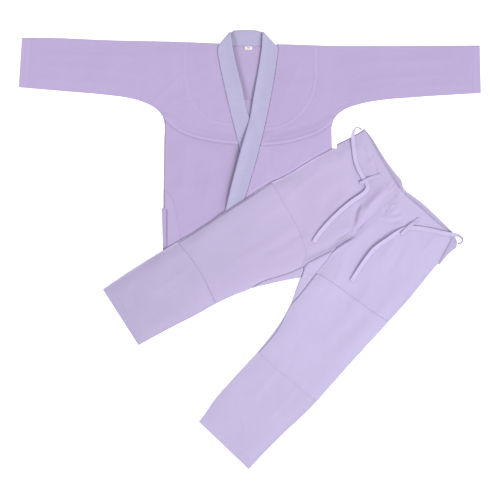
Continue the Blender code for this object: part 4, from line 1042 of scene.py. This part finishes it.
def jacket():
    shoulder = {s: Fold(EDGE[f"shoulder_{s}"], EDGE[f"side_{s}"][0], 2.4 * MM) for s in ("right", "left")}
    turn = {s: Fold(EDGE[f"lapel_fold_{s}"], (248.0, 60.0), 4.6 * MM) for s in ("right", "left")}
    free_lapel = {s: soft(EDGE[f"lapel_free_{s}"]) for s in turn}
    sewn_lapel = {s: soft(EDGE[f"lapel_sewn_{s}"]) for s in turn}
    sewn = {s: moved(sewn_lapel[s], sign * 0.12, 0.0) for s, sign in (("right", -1), ("left", 1))}
    chest = {s: beside(soft(EDGE[f"chest_{s}"]), CHEST_LAP if s == "right" else -CHEST_LAP) for s in turn}

    back_sheet = Sheet("back", JACKET_CLOTH, [], [
        ("right", back(EDGE["shoulder_right"])),
        ("cut", EDGE["underarm_right"] + EDGE["side_right"]),
        ("cut", back(EDGE["underarm_left"] + EDGE["side_left"])),
        ("left", EDGE["shoulder_left"]),
        ("cut", back(EDGE["neck"])),
    ], shoulder, pitch=9.0, flat=True)
    collar_sheet = Sheet("collar_back", LAPEL_CORE, [], [
        ("right", EDGE["lapel_fold_right"]),
        ("cut", EDGE["collar_top"]),
        ("left", EDGE["lapel_fold_left"]),
        ("cut", back(moved(EDGE["neck"], 0.0, -0.15))),
    ], turn, pitch=4.0, flat=True)
    y = YOKE
    yoke_low = [(y["right"] + 1.0, y["lower"] - 1.0), (y["left"] - 1.0, y["lower"] - 1.0)]
    yoke = Sheet("jacket_yoke_lining", YOKE_CLOTH, ["back"], [("cut", [
        (y["right"], y["neck"] + 0.6), (216.0, y["neck"] + 0.9), (221.5, y["neck"]), (274.2, y["neck"]),
        (280.0, y["neck"] + 1.2), (y["left"], y["neck"] + 1.8), (y["left"], y["lower"]), (y["right"], y["lower"]),
        (y["right"], y["neck"] + 0.6)])], seams=[groove(soft(yoke_low))])
    stitch("jacket", yoke, yoke_low)
    stitch("jacket", yoke, [(221.0, 47.3), (274.0, 47.3)])
    Piece(yoke.name).add(yoke).build(YOKE_TWILL, rests_on=["jacket_body"], slot="yoke_twill")
    heights["yoke_eased"] = spread(heights["jacket_yoke_lining"], 0.022)  # its edge doesn't show through the fronts
    (u0, u1), (v0, v1) = LABEL["u"], LABEL["v"]
    label = Sheet("jacket_neck_label", LABEL_CLOTH, ["jacket_yoke_lining"],
                  [("cut", [(u0, v0), (u1, v0), (u1, v1), (u0, v1), (u0, v0)])], pitch=1.6)
    Piece(label.name).add(label).build(WHITE, rests_on=["jacket_yoke_lining"], slot="label_white")
    label_bar(label)

    for s in ("right", "left"):
        side = soft(EDGE[f"front_side_{s}"])
        hem = [(166.0, 262.5), (262.0, 262.5)] if s == "right" else [(330.0, 262.5), (240.0, 262.5)]
        inner_side = beside(side, 1.9 if s == "left" else -1.9)
        patch_line = VENT_PATCH_EDGE if s == "right" else mirrored(VENT_PATCH_EDGE)
        seams = [groove(soft(hem)), groove(beside(side, 1.1 if s == "left" else -1.1), 0.3)]
        if s == "right":
            ring = ([(165.2, 117.4)] + chest["right"][4:-2] + [(237.1, 139.8)] + below(sewn["right"], 140.2)
                    + back(EDGE["front_side_right"]) + [(165.2, 117.4)])
            over = ["back"]
        else:
            ring = ([(331.4, 119.8)] + chest["left"][4:-2] + [(261.6, 140.6)] + below(sewn["left"], 141.2)
                    + back(EDGE["front_side_left"]) + [(331.4, 119.8)])
            over = ["back", "jacket_front_right", "lapel_right"]
        front = Sheet(f"jacket_front_{s}", JACKET_CLOTH, over, [("cut", ring)], seams=seams, pitch=4.4,
                      cells=1 if s == "right" else 2)
        stitch("jacket", front, beside(side, 1.1 if s == "left" else -1.1))
        stitch("jacket", front, beside(sewn["right"] if s == "right" else sewn["left"], 1.0 if s == "left" else -1.0))
        Piece(front.name).add(front).build(PEARL, rests_on=["jacket_body"], slot="pearl_weave")
        if s == "right":
            upper_right, lapel_right = upper("right", shoulder, sewn, back_sheet), None
            lapel_right = lapel("right", turn, free_lapel, sewn_lapel)
    upper_left = upper("left", shoulder, sewn, back_sheet)
    lapel_left = lapel("left", turn, free_lapel, sewn_lapel)

    body = Piece("jacket_body").add(back_sheet, face_up=False).add(upper_right).add(upper_left)
    for s in ("right", "left"):
        body.join(s, shoulder[s])
    body.build(PEARL, held="folded", slot="pearl_weave", flat=(1.484, 1.035))
    band_piece = Piece("jacket_lapel").add(collar_sheet, face_up=False).add(lapel_right).add(lapel_left)
    for s in ("right", "left"):
        band_piece.join(s, turn[s])
    band_piece.build(RIB, held="folded", rests_on=["jacket_body"], slot="lapel_rib", flat=(0.060, 1.620))
    stitch("jacket", collar_sheet, [(234.5, 32.0), (258.5, 32.0)])

    patch = VENT_PATCH_EDGE + [(167.0, 268.0), (167.0, 209.4), (164.5, 208.6), (164.5, 189.4)]
    for s, ring in (("right", patch), ("left", mirrored(patch))):
        edge = soft(VENT_PATCH_EDGE) if s == "right" else mirrored(soft(VENT_PATCH_EDGE))
        inside = 1 if s == "right" else -1
        rows = [beside(edge, -inside * 0.8), beside(edge, -inside * 3.2)]
        sheet = Sheet(f"jacket_vent_patch_{s}", VENT_PATCH_CLOTH, [f"jacket_front_{s}"], [("cut", ring)],
                      seams=[groove(row, 0.3) for row in rows], pitch=4.0)
        for row in rows:
            stitch("jacket", sheet, row)
        Piece(sheet.name).add(sheet).build(PEARL_BACK, rests_on=[f"jacket_front_{s}"], slot="pearl_weave")


def upper(s, shoulder, sewn, back_sheet):
    """Upper front and sleeve of one side, in one piece with the back over the shoulder fold."""
    sign = 1 if s == "right" else -1
    middle = soft(REINFORCED[s])
    chest = soft(EDGE[f"chest_{s}"])
    under = soft(EDGE[f"underarm_{s}"])
    cuff = [(22.0, 37.6), (18.7, 87.3)] if s == "right" else [(480.0, 45.4), (481.1, 93.1)]
    rows = [
        beside(middle, BAND_HALF), beside(middle, -BAND_HALF),
        beside(chest, sign * 1.0), beside(chest, sign * 3.3),
        moved(cuff, sign * 3.0, 0), moved(cuff, sign * 8.0, 0),
        beside(under, sign * 1.4),
    ]
    rows = [through(row, 1.2) if len(row) == 2 else row for row in rows]
    seams = [band(middle, 0.4, BAND_HALF * 3.2), band(moved(cuff, sign * 4.0, 0), 0.4, 13.0),
             band(beside(chest, sign * 2.0), 0.8, 5.4)]
    seams += [groove(row) for row in rows]
    armpit = [(134.6, 96.5), (149.5, 100.0), (163.3, 108.0)] if s == "right" else [(361.0, 101.5), (346.5, 104.0), (333.8, 111.0)]
    seams.append(groove(soft(armpit), 0.3, 1.6))
    seams = [(kind, np.asarray(line, float), size, wide) for kind, line, size, wide in seams]
    if s == "right":
        sides = [("right", EDGE["shoulder_right"]),
                 ("cut", above(sewn["right"], 139.9) + [(237.4, 140.3)] + back(chest)),
                 ("cut", back(EDGE["underarm_right"]))]
        over = ["back", "yoke_eased", "jacket_front_right"]
    else:
        sides = [("left", back(EDGE["shoulder_left"])),
                 ("cut", EDGE["underarm_left"] + [EDGE["chest_left"][0]]), ("cut", chest),
                 ("cut", [(261.3, 141.0)] + back(above(sewn["left"], 140.6)))]
        over = ["back", "yoke_eased", "jacket_front_left", "jacket_front_right", "lapel_right"]
    sheet = Sheet(f"upper_{s}", JACKET_CLOTH, over, sides, shoulder, seams=seams, pitch=4.4, cells=1)
    for row in rows:
        stitch("jacket", sheet, row)
    stitch("jacket", sheet, beside(above(sewn[s], 140), -sign * 1.0))
    return sheet


def lapel(s, turn, free, sewn):
    if s == "right":
        sides = [("right", EDGE["lapel_fold_right"]), ("cut", free["right"]), ("cut", back(sewn["right"]))]
        over = ["back", "jacket_yoke_lining", "jacket_neck_label", "collar_back"]
    else:
        sides = [("left", EDGE["lapel_fold_left"]), ("cut", sewn["left"]), ("cut", back(free["left"]))]
        over = ["back", "jacket_yoke_lining", "jacket_neck_label", "collar_back", "lapel_right", "upper_right",
                "jacket_front_right"]
    sheet = Sheet(f"lapel_{s}", LAPEL_CORE, over, sides, turn, pitch=4.0, cells=2)
    inward = 1 if s == "right" else -1
    stitch("jacket", sheet, beside(sewn[s], inward * 1.0))
    return sheet


def label_bar(label):
    """A short plain bar woven into the label."""
    u, v, long, wide = 248.5, 47.8, 3.2, 1.2
    across = [(-1.0, 0.0), (-0.7, 0.7), (0.0, 1.0), (0.7, 0.7), (1.0, 0.0)]
    points, faces = [], []
    n = 10
    for i in range(n + 1):
        t = i / n
        end = math.sqrt(max(0.0, 1 - (2 * t - 1) ** 6))
        for a, h in across:
            p = metres([(u + (t - 0.5) * long, v + a * wide / 2 * end)])[0]
            z = label.top_at(np.array([p]))[0]
            points.append((p[0], p[1], z - 0.00008 + 0.00022 * h * end))
    k = len(across)
    for i in range(n):
        for j in range(k - 1):
            a, b = i * k + j, (i + 1) * k + j
            faces += [(a, a + 1, b + 1), (a, b + 1, b)]
        faces += [(i * k, (i + 1) * k, (i + 1) * k + k - 1), (i * k, (i + 1) * k + k - 1, i * k + k - 1)]
    obj = mesh_object("label_bar", np.array(points), np.array(faces), RED)
    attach(obj, "root")


# ---- trousers ------------------------------------------------------------------------------------------------------
def panel(name, thick, over, ring, material, seams=(), rows=(), slot="trouser_twill", slope=0.10, cells=5, pitch=4.6,
          rests_on=("jacket_body",), radius=None):
    rows = [through(row, 1.2) if len(row) == 2 else np.asarray(row, float) for row in rows]
    seams = [(kind, np.asarray(line, float), size, wide) for kind, line, size, wide in seams]
    sheet = Sheet(name, thick, over, [("cut", list(ring) + [ring[0]])], seams=seams + [groove(row, 0.4) for row in rows],
                  slope=slope, cells=cells, pitch=pitch, radius=radius)
    for row in rows:
        stitch("trousers", sheet, row)
    Piece(name).add(sheet).build(material, rests_on=rests_on, slot=slot)
    return sheet


def tape(side, over):
    """A drawstring end: a flat woven tape, which stands on its edge round the waist corner and then lies flat."""
    table = np.array(TAPE[side], float)
    route = through(table, 0.8)
    place = metres(route[:, :2])
    roll, lift = np.radians(route[:, 2]), route[:, 3] * MM
    run = np.gradient(place, axis=0)
    run /= np.linalg.norm(run, axis=1)[:, None]
    left = np.stack([-run[:, 1], run[:, 0]], axis=1)
    half = TAPE_WIDE * SQUARE / 2
    base = support(over, 0.35, 1)
    reach = half * np.cos(roll)
    under = np.max([height_at(base, place + left * (reach * k)[:, None]) for k in (-1, -0.5, 0, 0.5, 1)], axis=0)
    kernel = np.array([1, 4, 6, 4, 1]) / 16.0
    under = np.maximum(under, np.convolve(np.pad(under, 2, mode="edge"), kernel, "valid"))
    stand = STAND_SIDE[side]
    # the middle is high enough for the lower edge to stay on what is under it
    middle = under + half * np.sin(roll) + TAPE_THICK / 2 * np.cos(roll) + 0.25 * MM + 0.15 * lift
    n = len(place)
    end = np.arange(n)[::-1] * np.linalg.norm(np.diff(place, axis=0), axis=1).mean()
    thick = TAPE_THICK * np.where(end < 0.009, 1.7, 1.0)  # the free end is folded double and sewn
    profile = []
    for k in range(20):
        a = 2 * math.pi * k / 20
        c, s = math.cos(a), math.sin(a)
        profile.append((math.copysign(abs(c) ** 0.35, c), math.copysign(abs(s) ** 0.7, s)))
    points = []
    for i in range(n):
        for a, b in profile:
            across, up = a * half, b * thick[i] / 2
            flat = across * math.cos(roll[i]) - up * math.sin(roll[i]) * stand
            high = across * math.sin(roll[i]) * stand + up * math.cos(roll[i])
            points.append((*(place[i] + left[i] * flat), middle[i] + high))
    k = len(profile)
    faces = []
    for i in range(n - 1):
        for j in range(k):
            a, b = i * k + j, i * k + (j + 1) % k
            faces += [(a, b, b + k), (a, b + k, a + k)]
    first, last = len(points), len(points) + 1
    points += [(*place[0], middle[0]), (*place[-1], middle[-1])]
    for j in range(k):
        faces += [(first, (j + 1) % k, j), (last, (n - 1) * k + j, (n - 1) * k + (j + 1) % k)]
    points, faces = np.array(points), np.array(faces)
    a, b, c = (points[faces[:, i]] for i in range(3))
    if (a * np.cross(b, c)).sum() < 0:
        faces = faces[:, ::-1]
    obj = mesh_object(f"trousers_tape_{side}", points, faces, TAPE_WEAVE)
    set_tone_and_painted_light(obj, np.full(len(points), EVEN_TONE["trousers_tape"]))
    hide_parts(f"trousers_tape_{side}")
    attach(obj, "root")
    # height of the tape, for the loop that goes over it
    top = np.zeros((ROWS, COLUMNS))
    for k in np.linspace(-1.0, 1.0, 9):
        p = place + left * (reach * k)[:, None]
        z = middle + half * k * np.sin(roll) * stand + TAPE_THICK * 0.6
        j = np.round((p[:, 0] - WEST) / CELL).astype(int)
        i = np.round((p[:, 1] - SOUTH) / CELL).astype(int)
        np.maximum.at(top, (i, j), z)
    heights[f"tape_{side}"] = widest(top, 1)


def loop(side, over):
    """A strip of folded tape sewn down at both ends, which holds the drawstring."""
    middle = soft(EDGE[f"loop_{side}"], 0.6)
    a, b = beside(middle, LOOP_WIDE / 2), beside(middle, -LOOP_WIDE / 2)
    ring = a + back(b)
    bars = [[b[2], a[2]], [b[4], a[4]], [b[-3], a[-3]], [b[-5], a[-5]]]
    sheet = Sheet(f"trousers_loop_{side}", LOOP_CLOTH, over, [("cut", ring + [ring[0]])],
                  seams=[groove(through(bar, 0.6), 0.4, 0.8) for bar in bars]
                  + [groove(beside(middle, LOOP_WIDE * 0.32), 0.25, 0.7), groove(beside(middle, -LOOP_WIDE * 0.32), 0.25, 0.7)],
                  pitch=2.0, slope=0.5, cells=1)
    for bar in bars:
        stitch("trousers", sheet, bar)
    Piece(sheet.name).add(sheet).build(TAPE_WEAVE, rests_on=["trousers_front_right" if side == "right" else "trousers_front_left"], slot="tape")


def trousers():
    under = ["back", "collar_back", "upper_right", "upper_left", "lapel_right", "lapel_left", "jacket_front_right",
             "jacket_front_left", "jacket_vent_patch_right", "jacket_vent_patch_left"]
    w, middle = EDGE["waist_back"], 5
    hem_right = [(102.8, 289.6), (138.4, 345.4)]
    hem_left = [(248.6, 469.5), (198.8, 422.0)]
    panel("trousers_back_right", TROUSER_CLOTH, under,
          soft(w[: middle + 1]) + [(300.65, 277.25)] + soft(EDGE["inseam_right"]) + soft(back(EDGE["outseam_right"]))
          + [(337.1, 143.9), (351.3, 137.0)], TWILL, pitch=6.5, rows=[beside(soft(w[: middle + 1]), -1.0)])
    panel("trousers_back_left", TROUSER_CLOTH, under,
          moved(w[middle : middle + 1], 0.12, 0.12) + soft(w[middle + 1 :])
          + [(455.4, 236.6), (457.2, 242.4), (456.8, 247.6), (449.0, 253.8), (440.3, 264.2)]
          + soft(EDGE["outseam_left"]) + soft(back(EDGE["inseam_left"])) + [(300.95, 277.55)], TWILL_LEFT, pitch=6.5,
          rows=[beside(soft(w[middle + 1 :]), -1.0), [(456.0, 238.6), (455.9, 246.6)],
                [(455.0, 247.4), (440.0, 262.6)]])
    backs = ["trousers_back_right", "trousers_back_left"]

    g = soft(EDGE["gusset_right"])
    panel("trousers_gusset_right", TROUSER_CLOTH, backs,
          moved(g, 0.05, 0.22) + moved(EDGE["inseam_right"][1::-1]) + [(300.3, 277.6), (303.1, 270.4), (303.3, 267.4)],
          TWILL, cells=2, slope=0.2, pitch=3.6)
    gl = soft(EDGE["gusset_left"])
    panel("trousers_gusset_left", TROUSER_CLOTH, backs,
          [(336.8, 244.6)] + moved(gl, -0.15, -0.1) + [EDGE["inseam_left"][0]]
          + [(300.9, 277.7), (303.6, 270.5), (303.8, 266.9), (305.9, 261.6), (313.4, 255.6), (329.8, 247.6)],
          TWILL_LEFT, cells=2, slope=0.2, pitch=3.6, rows=[[(303.4, 271.2), (312.0, 274.7)], [(303.0, 272.4), (311.4, 275.9)]])
    tuck = beside([EDGE["waist_front"][5]] + EDGE["centre_front"][:6], -FRONT_TUCK)
    wf = EDGE["waist_front"]
    out_left = soft(EDGE["outseam_left"])
    in_left = soft(EDGE["inseam_left"][1:])
    casing = beside(soft(wf[middle + 1 :]), -10.6)
    rectangle = [[(409, 274), (433, 240.5)], [(433, 240.5), (443.5, 248.6)], [(416, 280), (443.5, 248.6)]]
    panel("trousers_front_left", TROUSER_CLOTH, backs,
          [(399.0, 187.6)] + soft(wf[middle + 1 :]) + [(450.4, 240.0), (439.2, 260.6)] + out_left + back(in_left)
          + back(gl) + [(337.3, 244.4)] + back(tuck[1:]), TWILL_LEFT, pitch=4.6,
          seams=[band(casing, 0.35, 2.0)],
          rows=[casing, beside(soft(wf[middle + 1 :]), -1.1), beside(out_left, -1.3), beside(out_left, -3.2),
                beside(in_left, 1.4), moved(hem_left, 4.6, -4.9), beside(gl, 1.2), beside(gl, 2.9),
                [(450.1 - 1.6, 240.4), (439.2 - 1.6, 259.4)], [(403.6, 196.4), (383.4, 211.8)]])
    wr = soft(wf[: middle + 1])
    cf = soft(EDGE["centre_front"])
    gr = soft(EDGE["gusset_right"])
    out_right = soft(back(EDGE["outseam_right"]))
    in_right = soft(EDGE["inseam_right"][3:])
    casing = [(356.6, 145.0), (362.0, 149.8), (368.0, 157.0), (374.4, 166.0), (381.4, 177.4), (387.0, 185.6), (391.4, 191.6)]
    panel("trousers_front_right", TROUSER_CLOTH, backs + ["trousers_gusset_left", "trousers_front_left"],
          wr + cf + gr + in_right + out_right + [(337.3, 145.0), (350.6, 138.4)], TWILL, pitch=4.6,
          seams=[band(soft(casing), 0.35, 2.0)],
          rows=[soft(casing), beside(wr, -1.1), beside(cf, -1.3)[6:], beside(out_right, -1.3), beside(out_right, -3.2),
                beside(in_right, -1.4), moved(hem_right, 5.8, -3.6), beside(gr, -1.2), beside(gr, -2.9)])
    kr_top, kr_low = soft(EDGE["knee_top_right"]), soft(EDGE["knee_low_right"])
    panel("trousers_knee_patch_right", KNEE_CLOTH, ["trousers_front_right"],
          kr_top + soft([(301.6, 266.2), (287.0, 272.8), (276.2, 276.1), (259.8, 282.0), (251.6, 287.0), (233.0, 294.8)])
          + back(kr_low) + soft([(200.6, 229.2), (224.0, 214.3), (245.0, 200.9), (267.4, 185.9)]), TWILL,
          slope=0.3, cells=1, rows=[beside(kr_low, 1.0), beside(kr_low, 2.6)],
          rests_on=["trousers_front_right"], radius=0.006)
    kl_top, kl_low = soft(EDGE["knee_top_left"]), soft(EDGE["knee_low_left"])
    panel("trousers_knee_patch_left", KNEE_CLOTH, ["trousers_front_left"],
          kl_top + soft([(313.9, 277.4), (298.6, 296.8), (291.9, 304.2), (283.0, 320.4)]) + back(kl_low)
          + soft([(330.0, 385.3), (352.0, 360.4)]), TWILL_LEFT,
          slope=0.3, cells=1, rows=[beside(kl_low, -1.0), beside(kl_low, -2.6)],
          rests_on=["trousers_front_left"], radius=0.006)
    fronts = ["trousers_front_right", "trousers_front_left", "trousers_knee_patch_right", "trousers_knee_patch_left",
              "trousers_gusset_left", *backs]
    for s in ("right", "left"):
        tape(s, fronts)
        loop(s, [*fronts, f"tape_{s}"])


jacket()
trousers()
build_stitches("jacket", THREAD)
build_stitches("trousers", THREAD)

# ---- floor and light -----------------------------------------------------------------------------------------------
floor_mesh = bpy.data.meshes.new("floor")
floor_mesh.from_pydata([(-9, -9, -0.0006), (9, -9, -0.0006), (9, 9, -0.0006), (-9, 9, -0.0006)], [], [(0, 1, 2, 3)])
floor = bpy.data.objects.new("floor", floor_mesh)
bpy.context.scene.collection.objects.link(floor)
paper = Nodes("floor")
paper.shader.inputs["Base Color"].default_value = (0.92, 0.92, 0.92, 1.0)
paper.shader.inputs["Roughness"].default_value = 1.0
paper.shader.inputs["Specular IOR Level"].default_value = 0.0
paper.shader.inputs["Emission Color"].default_value = (1.0, 1.0, 1.0, 1.0)
paper.shader.inputs["Emission Strength"].default_value = 0.35
floor_mesh.materials.append(paper.material)

world = bpy.data.worlds.new("studio")
world.use_nodes = True
world.node_tree.nodes["Background"].inputs["Color"].default_value = (1.0, 1.0, 1.0, 1.0)
world.node_tree.nodes["Background"].inputs["Strength"].default_value = 0.70
bpy.context.scene.world = world


def sun(name, toward, strength, soft_angle):
    """A soft light from this direction, which puts this much light on the floor."""
    light = bpy.data.objects.new(name, bpy.data.lights.new(name, "SUN"))
    direction = Vector(toward).normalized()
    light.data.energy = strength * math.pi / direction.z
    light.data.angle = math.radians(soft_angle)
    light.rotation_euler = direction.to_track_quat("Z", "Y").to_euler()
    light.location = direction * 4
    bpy.context.scene.collection.objects.link(light)


sun("key", (0.68, -0.66, 1.0), 0.62, 26)
sun("fill", (-0.5, 0.2, 1.6), 0.18, 60)
bpy.context.scene.view_settings.view_transform = "Standard"
bpy.context.scene.view_settings.look = "None"
